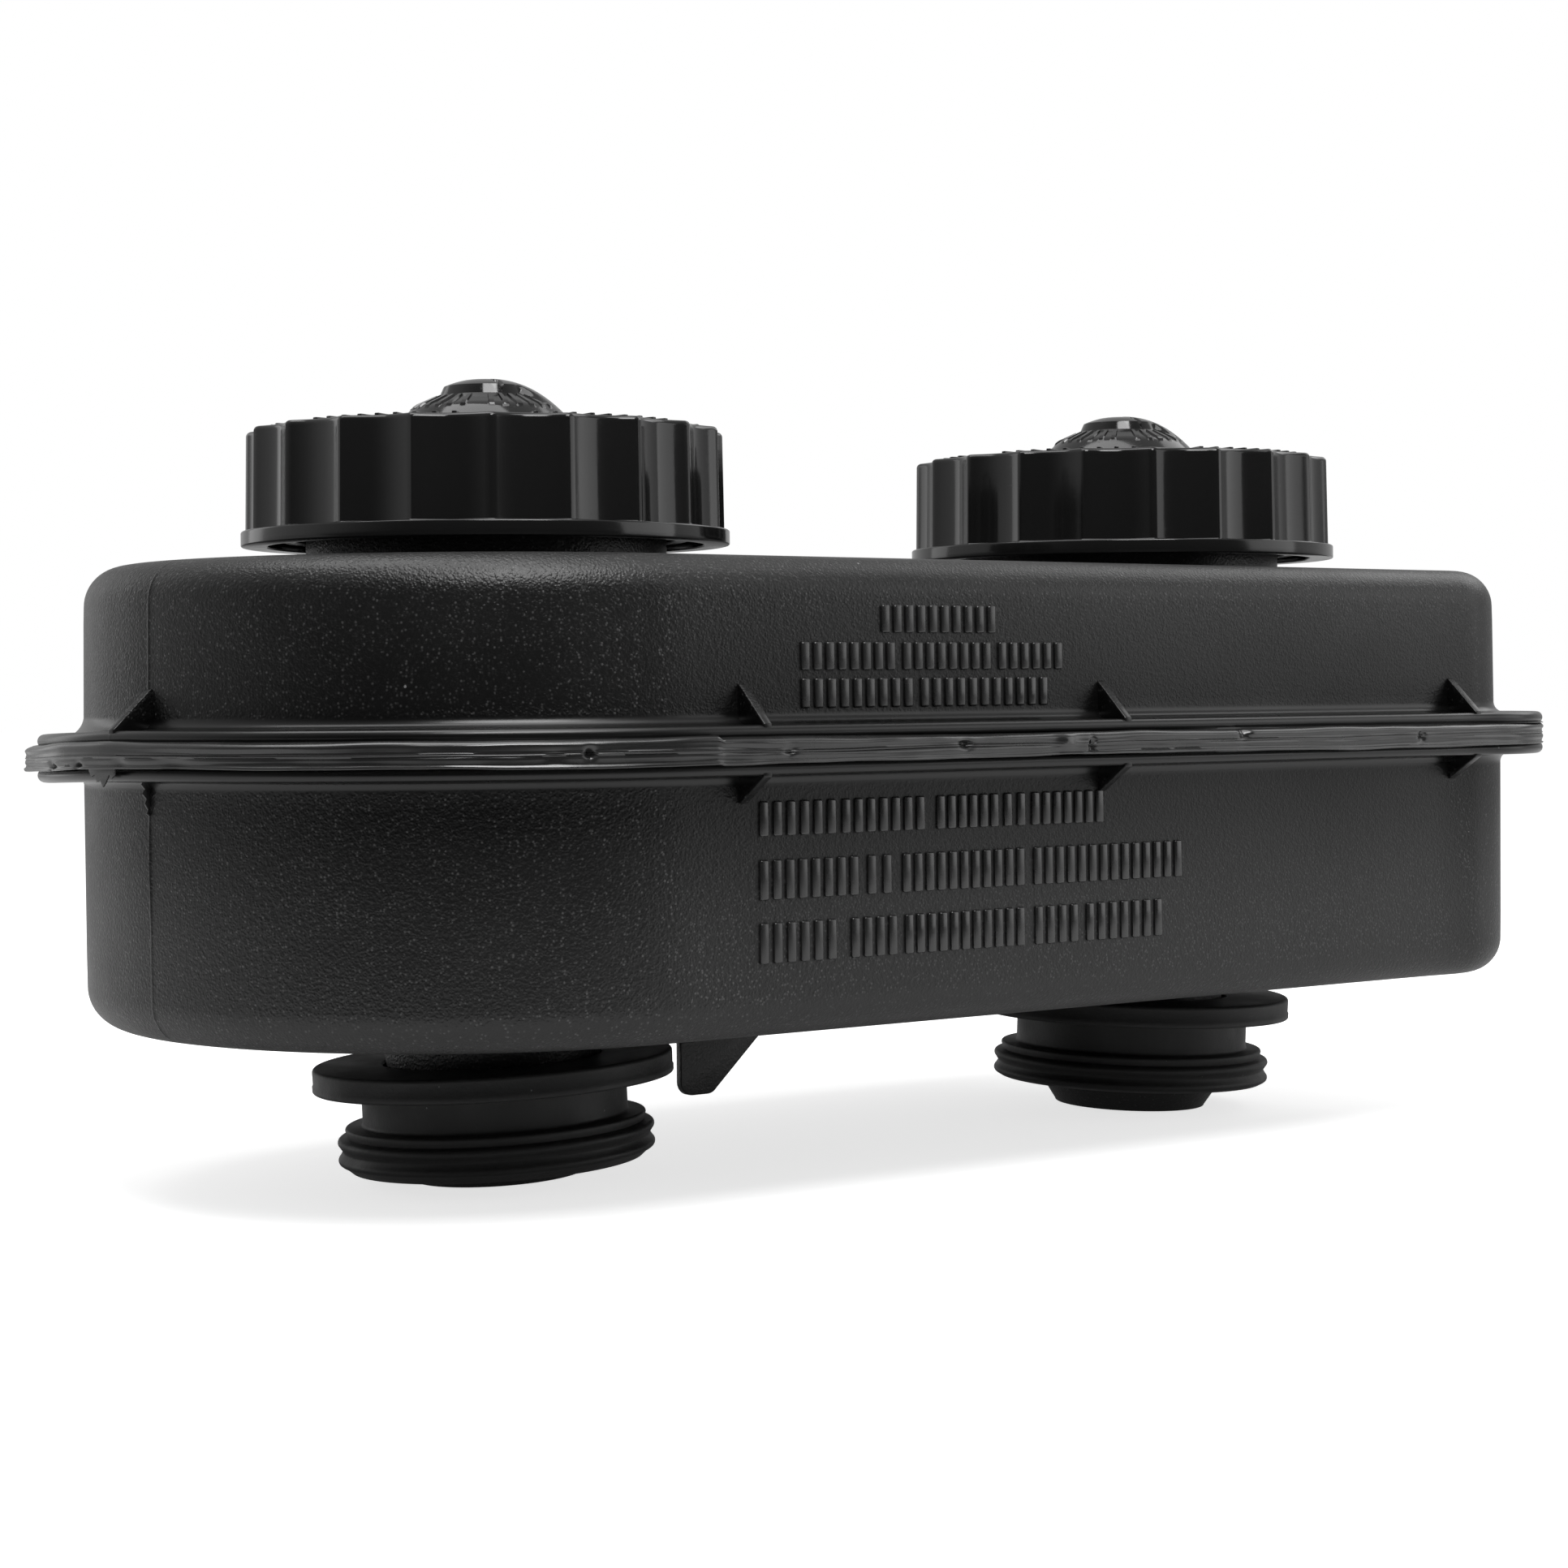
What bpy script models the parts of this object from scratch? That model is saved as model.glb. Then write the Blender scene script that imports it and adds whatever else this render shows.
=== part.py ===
"""Twin-chamber brake fluid reservoir.

Two moulded shells meet at a welded flange. Each chamber has a threaded filler neck with a
fluted screw cap and a rubber bellows under it, and a spigot below that sits in a ribbed
rubber grommet. The origin is under the middle of the body, level with the spigots' ends.
"""

import math

import bmesh
import bpy
from mathutils import Matrix, Vector

# Body shells
BODY_LENGTH = 0.2335
BODY_DEPTH = 0.118
RIGHT_CORNER_RADIUS = 0.016
UPPER_HEIGHT = 0.0277
LOWER_HEIGHT = 0.0405
WALL = 0.0025
EDGE_FILLET = 0.006
DRAFT_ANGLE = math.radians(0.4)
DIVIDER_WALL = 0.0022
DIVIDER_SHIFT = 0.0

# Welded flange
LIP_REACH = 0.0064
LIP_THICKNESS = 0.0018
BEAD_REACH = 0.0085
BEAD_HEIGHT = 0.0035
BEAD_ROUNDING = 0.0005

# Gussets above and below the flange
GUSSET_THICKNESS = 0.0014
GUSSET_REACH = 0.0063
UPPER_GUSSET_HEIGHT = 0.0057
LOWER_GUSSET_HEIGHT = 0.004
FRONT_GUSSET_SHARES = (0.2904, 0.5773, 0.9114)
END_GUSSET_ANGLE = math.radians(9.0)

# Filler necks and their thread
LEFT_NECK_INSET = 0.0612
RIGHT_NECK_INSET = 0.0413
NECK_RADIUS = 0.0277
NECK_WALL = 0.0028
NECK_ROOT_FLARE = 0.0008
THREAD_LEAD = 0.006
THREAD_HEIGHT = 0.0012
THREAD_ROOT_WIDTH = 0.0026
THREAD_TIP_WIDTH = 0.0012
NECK_THREAD_TURNS = 1.0
CAP_THREAD_TURNS = 1.0
THREAD_START_ANGLE = math.radians(200.0)

# Screw caps
CAP_HOLLOW = 0.0022
CAP_HEIGHT = 0.01775
CAP_TAPER = 0.0003
CAP_WALL = 0.0036
SLEEVE_WALL = 0.002
SLEEVE_RECESS = 0.0008
CAP_ROOF = 0.0024
CAP_EDGE_FILLET = 0.0008
CAP_RIM_LEDGE = 0.0004
CAP_RIM_HEIGHT = 0.0023
CAP_LIFT = 0.00315
FLUTE_COUNT = 20
FLUTE_DEPTH = 0.0019
FLUTE_PHASES = {"left": math.radians(6.9), "right": math.radians(2.6)}
HUB_RADIUS = 0.0145
HUB_HEIGHT = 0.0083
HUB_WALL = 0.0022
HUB_BUTTON_RADIUS = 0.0063
HUB_RECESS_DEPTH = 0.0012
HUB_RECESS_SWEEP = math.radians(268.0)
HUB_RECESS_START = math.radians(30.0)
VENT_WIDTH = 0.0016
VENT_HEIGHT = 0.0021
VENT_ANGLE = math.radians(-106.0)

# Bellows under the caps
BELLOWS_FLANGE_THICKNESS = 0.0018
BELLOWS_FLANGE_OVERHANG = 0.001
BELLOWS_SKIN = 0.0013
BELLOWS_DEPTH = 0.0135
BELLOWS_FOLD = 0.0075

# Outlet spigots and the locating fin
SPIGOT_DROP = 0.026
SPIGOT_ROOT_RADIUS = 0.017
SPIGOT_TIP_RADIUS = 0.0152
SPIGOT_NOSE_RADIUS = 0.0133
SPIGOT_NOSE_LENGTH = 0.0037
SPIGOT_BORE_RADIUS = 0.0115
FIN_INSET = 0.0959
FIN_TOP_LENGTH = 0.0231
FIN_TIP_LENGTH = 0.0062
FIN_DROP = 0.0164
FIN_THICKNESS = 0.0015
FIN_CORNER = 0.0022

# Grommets
GROMMET_FLANGE_RADIUS = 0.0278
GROMMET_FLANGE_THICKNESS = 0.0037
GROMMET_NECK_RADIUS = 0.0204
GROMMET_NECK_LENGTH = 0.0048
GROMMET_SHOULDER_RADIUS = 0.0225
GROMMET_RIB_RADIUS = 0.0242
GROMMET_RIB_PITCH = 0.00265
GROMMET_RIB_DEPTH = 0.0011
GROMMET_FOOT_RADIUS = 0.0212

# Clearances
SEAT_GAP = 0.0003
THREAD_CLEARANCE = 0.0004
THREAD_FLANK_GAP = 0.00035
BELLOWS_CLEARANCE = 0.0007

# Facets
LEFT_END_STEPS = 20
CORNER_STEPS = 4
FILLET_STEPS = 3
NECK_STEPS = 40
THREAD_STEPS_PER_TURN = 32
CAP_STEPS = 40
HUB_STEPS = 32
BELLOWS_STEPS = 32
SPIGOT_STEPS = 28
GROMMET_STEPS = 32
MERGE_DISTANCE = 0.00001
FLAT_ANGLE = math.radians(35.0)

# Places worked out from the sizes above
HALF_LENGTH = BODY_LENGTH / 2
HALF_DEPTH = BODY_DEPTH / 2
FLOOR_Z = SPIGOT_DROP
WELD_Z = FLOOR_Z + LOWER_HEIGHT
ROOF_Z = WELD_Z + UPPER_HEIGHT
LEFT_NECK_X = LEFT_NECK_INSET - HALF_LENGTH
RIGHT_NECK_X = HALF_LENGTH - RIGHT_NECK_INSET
NECK_PLACES = {"left": LEFT_NECK_X, "right": RIGHT_NECK_X}
DIVIDER_X = (LEFT_NECK_X + RIGHT_NECK_X) / 2 + DIVIDER_SHIFT
FLANGE_HALF_HEIGHT = BEAD_HEIGHT / 2 + LIP_THICKNESS
CAP_Z = ROOF_Z + CAP_LIFT
CAP_CEILING_Z = CAP_Z + CAP_HEIGHT - CAP_ROOF
NECK_BORE_RADIUS = NECK_RADIUS - NECK_WALL
SLEEVE_BORE_RADIUS = NECK_RADIUS + THREAD_HEIGHT + THREAD_CLEARANCE
CAP_BORE_RADIUS = SLEEVE_BORE_RADIUS + SLEEVE_WALL + CAP_HOLLOW
CAP_RADIUS = CAP_BORE_RADIUS + CAP_WALL
CAP_RIM_RADIUS = CAP_RADIUS + CAP_RIM_LEDGE
BELLOWS_TOP_Z = CAP_CEILING_Z - SEAT_GAP
NECK_TOP_Z = BELLOWS_TOP_Z - BELLOWS_FLANGE_THICKNESS - SEAT_GAP
NECK_THREAD_RISE = THREAD_LEAD * NECK_THREAD_TURNS
NECK_THREAD_START_Z = NECK_TOP_Z - THREAD_ROOT_WIDTH / 2 - SEAT_GAP - NECK_THREAD_RISE
THREAD_MEAN_WIDTH = (THREAD_ROOT_WIDTH + THREAD_TIP_WIDTH) / 2
CAP_THREAD_START_Z = NECK_THREAD_START_Z - THREAD_MEAN_WIDTH - THREAD_FLANK_GAP

# Colours: base colour, roughness
SHELL_FINISH = ((0.035, 0.036, 0.038, 1.0), 0.55)
CAP_FINISH = ((0.012, 0.012, 0.013, 1.0), 0.22)
RUBBER_FINISH = ((0.016, 0.016, 0.017, 1.0), 0.75)


def clear_scene():
    """Removes every object, so that the script can be run again."""
    for item in list(bpy.data.objects):
        bpy.data.objects.remove(item, do_unlink=True)


def make_collection(name):
    """Returns a new collection linked to the scene."""
    collection = bpy.data.collections.new(name)
    bpy.context.scene.collection.children.link(collection)
    return collection


def make_material(name, finish):
    """Returns a Principled BSDF material with the finish's colour and roughness."""
    colour, roughness = finish
    material = bpy.data.materials.new(name)
    material.use_nodes = True
    shader = material.node_tree.nodes["Principled BSDF"]
    shader.inputs["Base Color"].default_value = colour
    shader.inputs["Roughness"].default_value = roughness
    shader.inputs["Metallic"].default_value = 0.0
    return material


def object_from(name, bm, collection, x=0.0):
    """Turns a bmesh into an object of the collection, with its origin at x on the ground."""
    mesh = bpy.data.meshes.new(name)
    bm.to_mesh(mesh)
    bm.free()
    item = bpy.data.objects.new(name, mesh)
    item.location.x = x
    collection.objects.link(item)
    if collection.name == "cutters":
        item.display_type = "WIRE"
        item.hide_render = True
    return item


def body_outline(inset=0.0):
    """Points of the body's plan, inset from the wall's outside (negative goes outwards)."""
    end = HALF_DEPTH - inset
    corner = RIGHT_CORNER_RADIUS - inset
    corner_x = HALF_LENGTH - RIGHT_CORNER_RADIUS
    corner_y = HALF_DEPTH - RIGHT_CORNER_RADIUS
    points = []
    for centre_y, first in ((-corner_y, -90.0), (corner_y, 0.0)):
        for step in range(CORNER_STEPS + 1):
            angle = math.radians(first + 90.0 * step / CORNER_STEPS)
            points.append((corner_x + corner * math.cos(angle), centre_y + corner * math.sin(angle)))
    for step in range(LEFT_END_STEPS + 1):
        angle = math.radians(90.0 + 180.0 * step / LEFT_END_STEPS)
        points.append((HALF_DEPTH - HALF_LENGTH + end * math.cos(angle), end * math.sin(angle)))
    return points


def prism(points, low, high, bm=None, end_scale=(1.0, 1.0)):
    """Extrudes a flat outline from low to high; end_scale shrinks the far end in x and y."""
    bm = bm or bmesh.new()
    face = bm.faces.new([bm.verts.new((x, y, low)) for x, y in points])
    grown = bmesh.ops.extrude_face_region(bm, geom=[face])
    far = [item for item in grown["geom"] if isinstance(item, bmesh.types.BMVert)]
    bmesh.ops.translate(bm, verts=far, vec=(0, 0, high - low))
    bmesh.ops.scale(bm, verts=far, vec=(end_scale[0], end_scale[1], 1.0))
    bmesh.ops.recalc_face_normals(bm, faces=bm.faces)
    return bm


def upright_plate(points, x, y, angle, thickness, bm):
    """Adds a plate that stands on edge: points are (reach, height), angle turns it about z."""
    start = len(bm.verts)
    prism(points, -thickness / 2, thickness / 2, bm)
    bm.verts.ensure_lookup_table()
    fresh = bm.verts[start:]
    stand = Matrix.Rotation(math.pi / 2, 4, "X")
    place = Matrix.Translation((x, y, 0)) @ Matrix.Rotation(angle, 4, "Z") @ stand
    bmesh.ops.transform(bm, matrix=place, verts=fresh)
    return bm


def swept_shell(section):
    """Sweeps a section of (inset, z) points round the body's plan and closes both flat ends."""
    bm = bmesh.new()
    loops = []
    for inset, z in section:
        loops.append([bm.verts.new((x, y, z)) for x, y in body_outline(inset)])
    count = len(loops[0])
    for loop, following in zip(loops, loops[1:]):
        for step in range(count):
            after = (step + 1) % count
            bm.faces.new((loop[step], loop[after], following[after], following[step]))
    bm.faces.new(loops[0])
    bm.faces.new(loops[-1])
    bmesh.ops.recalc_face_normals(bm, faces=bm.faces)
    return bm


def turned(name, profile, steps, collection, x=0.0, sweep=2 * math.pi, start=0.0, ring=False):
    """Turns a profile of (radius, z) points about z; a ring's profile is closed."""
    bm = bmesh.new()
    verts = [bm.verts.new((radius * math.cos(start), radius * math.sin(start), z)) for radius, z in profile]
    for first, second in zip(verts, verts[1:]):
        bm.edges.new((first, second))
    if ring:
        bm.edges.new((verts[-1], verts[0]))
    item = object_from(name, bm, collection, x)
    screw = item.modifiers.new("turn", "SCREW")
    screw.angle = sweep
    screw.steps = steps
    screw.render_steps = steps
    screw.use_merge_vertices = True
    screw.merge_threshold = MERGE_DISTANCE
    screw.use_smooth_shade = True
    return item


def thread_ridge(name, root_radius, tip_radius, turns, start_z, collection, x):
    """A helical ridge of trapezoid section, from root_radius to tip_radius."""
    bm = bmesh.new()
    corners = (
        (root_radius, -THREAD_ROOT_WIDTH / 2),
        (tip_radius, -THREAD_TIP_WIDTH / 2),
        (tip_radius, THREAD_TIP_WIDTH / 2),
        (root_radius, THREAD_ROOT_WIDTH / 2),
    )
    section = bm.faces.new([bm.verts.new((radius, 0, start_z + height)) for radius, height in corners])
    steps = max(4, round(THREAD_STEPS_PER_TURN * turns))
    bmesh.ops.rotate(bm, verts=bm.verts, cent=(0, 0, 0), matrix=Matrix.Rotation(THREAD_START_ANGLE, 3, "Z"))
    bmesh.ops.spin(
        bm,
        geom=[section, *section.edges, *section.verts],
        cent=(0, 0, 0),
        axis=(0, 0, 1),
        dvec=(0, 0, THREAD_LEAD * turns / steps),
        angle=2 * math.pi * turns,
        steps=steps,
        use_duplicate=False,
    )
    bmesh.ops.recalc_face_normals(bm, faces=bm.faces)
    return object_from(name, bm, collection, x)


def combine(item, other, operation):
    """Adds a Boolean modifier that joins or cuts item with the other object."""
    modifier = item.modifiers.new(f"{operation.lower()} {other.name}", "BOOLEAN")
    modifier.operation = operation
    modifier.solver = "EXACT"
    modifier.object = other


def finish(item, material, smooth=True):
    """Gives the object its material and smooth round faces with sharp corners."""
    item.data.materials.append(material)
    if smooth:
        item.data.shade_smooth()
        item.data.set_sharp_from_angle(angle=FLAT_ANGLE)


def plug(name, radius, z, steps, cutters, x):
    """A round cutter through the wall at height z."""
    profile = ((0.0, z + 2 * WALL), (radius, z + 2 * WALL), (radius, z - 2 * WALL), (0.0, z - 2 * WALL))
    return turned(name, profile, steps, cutters, x)


def gusset_plates(name, side, height, cutters):
    """The triangular ribs between wall and flange, above (side 1) or below (side -1) it."""
    bm = bmesh.new()
    lip_z = WELD_Z + side * FLANGE_HALF_HEIGHT
    sunk = WALL / 2
    outline = (
        (-sunk, lip_z - side * LIP_THICKNESS / 2),
        (GUSSET_REACH, lip_z - side * LIP_THICKNESS / 2),
        (0.0, lip_z + side * height),
        (-sunk, lip_z + side * height),
    )
    for share in FRONT_GUSSET_SHARES:
        for facing in (-1, 1):
            upright_plate(outline, share * BODY_LENGTH - HALF_LENGTH, facing * HALF_DEPTH, facing * math.pi / 2,
                          GUSSET_THICKNESS, bm)
    if side > 0:
        turn = math.pi + END_GUSSET_ANGLE
        centre_x = HALF_DEPTH - HALF_LENGTH
        upright_plate(outline, centre_x + HALF_DEPTH * math.cos(turn), HALF_DEPTH * math.sin(turn), turn,
                      GUSSET_THICKNESS, bm)
        upright_plate(outline, HALF_LENGTH, 0.0, 0.0, GUSSET_THICKNESS, bm)
    bmesh.ops.recalc_face_normals(bm, faces=bm.faces)
    return object_from(name, bm, cutters)


def fillet_points(inset, z, side, radius):
    """Rounded edge of a shell's closed end, from its flat face down to its wall."""
    points = []
    for step in range(FILLET_STEPS + 1):
        angle = math.pi / 2 * (1.0 - step / FILLET_STEPS)
        points.append((inset + radius * (1.0 - math.cos(angle)), z - side * radius * (1.0 - math.sin(angle))))
    return points


def shell_section(side, closed_z):
    """Section of one shell: rounded edge, wall, lip, half of the squeezed bead, and the inside."""
    face_z = WELD_Z + side * SEAT_GAP / 2
    bead_z = WELD_Z + side * BEAD_HEIGHT / 2
    lip_z = WELD_Z + side * FLANGE_HALF_HEIGHT
    taken_in = abs(closed_z - WELD_Z) * math.tan(DRAFT_ANGLE)
    outside = fillet_points(taken_in, closed_z, side, EDGE_FILLET)
    flange = [
        (0.0, lip_z),
        (BEAD_ROUNDING - LIP_REACH, lip_z),
        (-LIP_REACH, lip_z - side * BEAD_ROUNDING),
        (-LIP_REACH, bead_z),
        (BEAD_ROUNDING - BEAD_REACH, bead_z),
        (-BEAD_REACH, bead_z - side * BEAD_ROUNDING),
        (-BEAD_REACH, face_z + side * BEAD_ROUNDING),
        (BEAD_ROUNDING - BEAD_REACH, face_z),
        (WALL, face_z),
    ]
    inside = fillet_points(taken_in + WALL, closed_z - side * WALL, side, EDGE_FILLET - WALL)
    return outside + flange + list(reversed(inside))


def divider(name, low, high, cutters):
    """The wall between the two chambers, across the body's whole depth."""
    half = HALF_DEPTH - WALL / 2
    points = (
        (DIVIDER_X - DIVIDER_WALL / 2, -half),
        (DIVIDER_X + DIVIDER_WALL / 2, -half),
        (DIVIDER_X + DIVIDER_WALL / 2, half),
        (DIVIDER_X - DIVIDER_WALL / 2, half),
    )
    return object_from(name, prism(points, low, high), cutters)


def divider_edge_cut(name, side, cutters):
    """Trims the divider's outer corners back inside the shell's rounded edge."""
    closed_z = ROOF_Z if side > 0 else FLOOR_Z
    bm = bmesh.new()
    for facing in (-1, 1):
        corner_y = HALF_DEPTH * facing
        corner = (
            (corner_y, closed_z),
            (corner_y - facing * EDGE_FILLET, closed_z),
            (corner_y, closed_z - side * EDGE_FILLET),
        )
        start = len(bm.verts)
        prism(corner, DIVIDER_X - DIVIDER_WALL, DIVIDER_X + DIVIDER_WALL, bm)
        bm.verts.ensure_lookup_table()
        swap = Matrix(((0, 0, 1), (1, 0, 0), (0, 1, 0)))
        bmesh.ops.transform(bm, matrix=swap.to_4x4(), verts=bm.verts[start:])
    bmesh.ops.recalc_face_normals(bm, faces=bm.faces)
    return object_from(name, bm, cutters)


def upper_shell(parts, cutters, material):
    """The upper half: roof, filler necks with their threads, lip, gussets and divider."""
    shell = object_from("upper_shell", swept_shell(shell_section(1, ROOF_Z)), parts)
    wall = divider("upper_divider", WELD_Z + SEAT_GAP, ROOF_Z - WALL / 2, cutters)
    combine(wall, divider_edge_cut("upper_divider_trim", 1, cutters), "DIFFERENCE")
    combine(shell, wall, "UNION")
    combine(shell, gusset_plates("upper_gussets", 1, UPPER_GUSSET_HEIGHT, cutters), "UNION")
    low = ROOF_Z - WALL - SEAT_GAP
    profile = (
        (NECK_BORE_RADIUS, NECK_TOP_Z),
        (NECK_RADIUS - SEAT_GAP, NECK_TOP_Z),
        (NECK_RADIUS, NECK_TOP_Z - SEAT_GAP),
        (NECK_RADIUS, ROOF_Z + NECK_ROOT_FLARE),
        (NECK_RADIUS + NECK_ROOT_FLARE, ROOF_Z - SEAT_GAP),
        (NECK_RADIUS + NECK_ROOT_FLARE, low),
        (NECK_BORE_RADIUS, low),
    )
    for side, x in NECK_PLACES.items():
        combine(shell, plug(f"{side}_roof_hole", NECK_RADIUS - NECK_WALL / 2, ROOF_Z, NECK_STEPS, cutters, x),
                "DIFFERENCE")
    for side, x in NECK_PLACES.items():
        combine(shell, turned(f"{side}_neck", profile, NECK_STEPS, cutters, x, ring=True), "UNION")
        ridge = thread_ridge(f"{side}_neck_thread", NECK_RADIUS - NECK_WALL / 2, NECK_RADIUS + THREAD_HEIGHT,
                             NECK_THREAD_TURNS, NECK_THREAD_START_Z, cutters, x)
        combine(shell, ridge, "UNION")
    finish(shell, material)
    return shell


def locating_fin(cutters):
    """The fin under the middle: upright towards the left, sloped on the right, round corners."""
    left = FIN_INSET - HALF_LENGTH
    top = FLOOR_Z + WALL / 2
    low = FLOOR_Z - FIN_DROP
    slope_x = left + FIN_TIP_LENGTH
    right = left + FIN_TOP_LENGTH
    cut = FIN_CORNER * 0.3
    points = (
        (left, top),
        (left, low + FIN_CORNER),
        (left + cut, low + cut),
        (left + FIN_CORNER, low),
        (slope_x - FIN_CORNER / 2, low),
        (slope_x + FIN_CORNER / 2, low + FIN_CORNER / 2),
        (right, FLOOR_Z),
        (right, top),
    )
    bm = upright_plate(points, 0.0, 0.0, 0.0, FIN_THICKNESS, bmesh.new())
    bmesh.ops.recalc_face_normals(bm, faces=bm.faces)
    return object_from("fin", bm, cutters)


def spigot_radius(z):
    """Outer radius of the tapered spigot at height z."""
    share = (z - SPIGOT_NOSE_LENGTH) / (SPIGOT_DROP - SPIGOT_NOSE_LENGTH)
    return SPIGOT_TIP_RADIUS + (SPIGOT_ROOT_RADIUS - SPIGOT_TIP_RADIUS) * share


def lower_shell(parts, cutters, material):
    """The lower half: floor, outlet spigots, locating fin, lip, gussets and divider."""
    shell = object_from("lower_shell", swept_shell(shell_section(-1, FLOOR_Z)), parts)
    wall = divider("lower_divider", FLOOR_Z + WALL / 2, WELD_Z - SEAT_GAP, cutters)
    combine(wall, divider_edge_cut("lower_divider_trim", -1, cutters), "DIFFERENCE")
    combine(shell, wall, "UNION")
    combine(shell, gusset_plates("lower_gussets", -1, LOWER_GUSSET_HEIGHT, cutters), "UNION")
    combine(shell, locating_fin(cutters), "UNION")
    high = FLOOR_Z + WALL + SEAT_GAP
    profile = (
        (SPIGOT_BORE_RADIUS, high),
        (SPIGOT_ROOT_RADIUS + NECK_ROOT_FLARE, high),
        (SPIGOT_ROOT_RADIUS + NECK_ROOT_FLARE, FLOOR_Z + SEAT_GAP),
        (spigot_radius(FLOOR_Z - NECK_ROOT_FLARE), FLOOR_Z - NECK_ROOT_FLARE),
        (SPIGOT_TIP_RADIUS, SPIGOT_NOSE_LENGTH),
        (SPIGOT_NOSE_RADIUS, 0.0),
        (SPIGOT_BORE_RADIUS, 0.0),
    )
    hole = (SPIGOT_BORE_RADIUS + SPIGOT_ROOT_RADIUS) / 2
    for side, x in NECK_PLACES.items():
        combine(shell, plug(f"{side}_floor_hole", hole, FLOOR_Z, SPIGOT_STEPS, cutters, x), "DIFFERENCE")
    for side, x in NECK_PLACES.items():
        combine(shell, turned(f"{side}_spigot", profile, SPIGOT_STEPS, cutters, x, ring=True), "UNION")
    finish(shell, material)
    return shell


def fluted_outline(radius, phase):
    """The cap's grip: narrow ridges with a scooped flute between each two, turned by phase."""
    points = []
    for index in range(FLUTE_COUNT):
        for share, depth in ((0.0, 0.0), (0.25, 0.75), (0.5, 1.0), (0.75, 0.75)):
            angle = phase + 2 * math.pi * (index + share) / FLUTE_COUNT
            reach = radius - depth * FLUTE_DEPTH
            points.append((reach * math.cos(angle), reach * math.sin(angle)))
    return points


def hub_height(radius):
    """Height of the cap's hub above the roof at a radius, as a smooth dome."""
    share = min(1.0, radius / HUB_RADIUS)
    return HUB_HEIGHT * (1.0 - share ** 2.4)


def screw_cap(side, x, parts, cutters, material):
    """A fluted screw cap with a domed hub, hollow below, with a thread inside its skirt."""
    top_z = CAP_Z + CAP_HEIGHT
    taper = 1.0 - CAP_TAPER / CAP_RADIUS
    skirt_z = CAP_Z + CAP_RIM_HEIGHT / 2
    bm = prism(fluted_outline(CAP_RADIUS, FLUTE_PHASES[side]), skirt_z, top_z, end_scale=(taper, taper))
    edge = [item for item in bm.edges if all(abs(vert.co.z - top_z) < MERGE_DISTANCE for vert in item.verts)]
    bmesh.ops.bevel(bm, geom=edge, offset=CAP_EDGE_FILLET, offset_type="OFFSET", segments=2,
                    profile=0.5, affect="EDGES", clamp_overlap=True, material=-1)
    cap = object_from(f"{side}_cap", bm, parts, x)
    rim = turned(f"{side}_cap_rim", ((0.0, CAP_Z + CAP_RIM_HEIGHT), (CAP_RIM_RADIUS, CAP_Z + CAP_RIM_HEIGHT),
                                     (CAP_RIM_RADIUS, CAP_Z), (0.0, CAP_Z)), CAP_STEPS, cutters, x)
    combine(cap, rim, "UNION")
    radii = [HUB_RADIUS * share for share in (0.0, 0.2, 0.4, 0.6, 0.75, 0.88, 1.0)]
    dome = [(radius, top_z + hub_height(radius)) for radius in radii]
    dome += [(HUB_RADIUS, top_z - CAP_ROOF / 2), (0.0, top_z - CAP_ROOF / 2)]
    combine(cap, turned(f"{side}_cap_hub", dome, HUB_STEPS, cutters, x), "UNION")
    outer = HUB_RADIUS - HUB_RECESS_DEPTH
    trench = (
        (outer, top_z + HUB_HEIGHT),
        (outer, top_z + hub_height(outer) - HUB_RECESS_DEPTH / 4),
        (HUB_BUTTON_RADIUS + HUB_RECESS_DEPTH / 2, top_z + hub_height(HUB_BUTTON_RADIUS) - HUB_RECESS_DEPTH),
        (HUB_BUTTON_RADIUS, top_z + HUB_HEIGHT),
    )
    recess = partial_turn(f"{side}_hub_recess", trench, HUB_RECESS_START, HUB_RECESS_SWEEP, cutters, x)
    combine(cap, recess, "DIFFERENCE")
    combine(cap, vent_notch(side, top_z, cutters, x), "DIFFERENCE")
    ceiling = CAP_CEILING_Z
    inner = HUB_RADIUS - HUB_WALL
    hollow = [(radius, top_z + hub_height(radius + HUB_WALL) - HUB_WALL) for radius in (0.0, inner * 0.5)]
    hollow += [
        (inner, ceiling),
        (CAP_BORE_RADIUS - CAP_EDGE_FILLET, ceiling),
        (CAP_BORE_RADIUS, ceiling - CAP_EDGE_FILLET),
        (CAP_BORE_RADIUS, CAP_Z - CAP_RIM_HEIGHT),
        (0.0, CAP_Z - CAP_RIM_HEIGHT),
    ]
    combine(cap, turned(f"{side}_cap_hollow", hollow, CAP_STEPS, cutters, x), "DIFFERENCE")
    sleeve_z = CAP_Z + SLEEVE_RECESS
    sleeve = (
        (SLEEVE_BORE_RADIUS, ceiling + CAP_ROOF / 2),
        (SLEEVE_BORE_RADIUS + SLEEVE_WALL, ceiling + CAP_ROOF / 2),
        (SLEEVE_BORE_RADIUS + SLEEVE_WALL, sleeve_z),
        (SLEEVE_BORE_RADIUS, sleeve_z),
    )
    combine(cap, turned(f"{side}_cap_sleeve", sleeve, CAP_STEPS, cutters, x, ring=True), "UNION")
    ridge = thread_ridge(f"{side}_cap_thread", SLEEVE_BORE_RADIUS + SLEEVE_WALL / 3, NECK_RADIUS + THREAD_CLEARANCE,
                         CAP_THREAD_TURNS, CAP_THREAD_START_Z, cutters, x)
    combine(cap, ridge, "UNION")
    finish(cap, material)
    return cap


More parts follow.
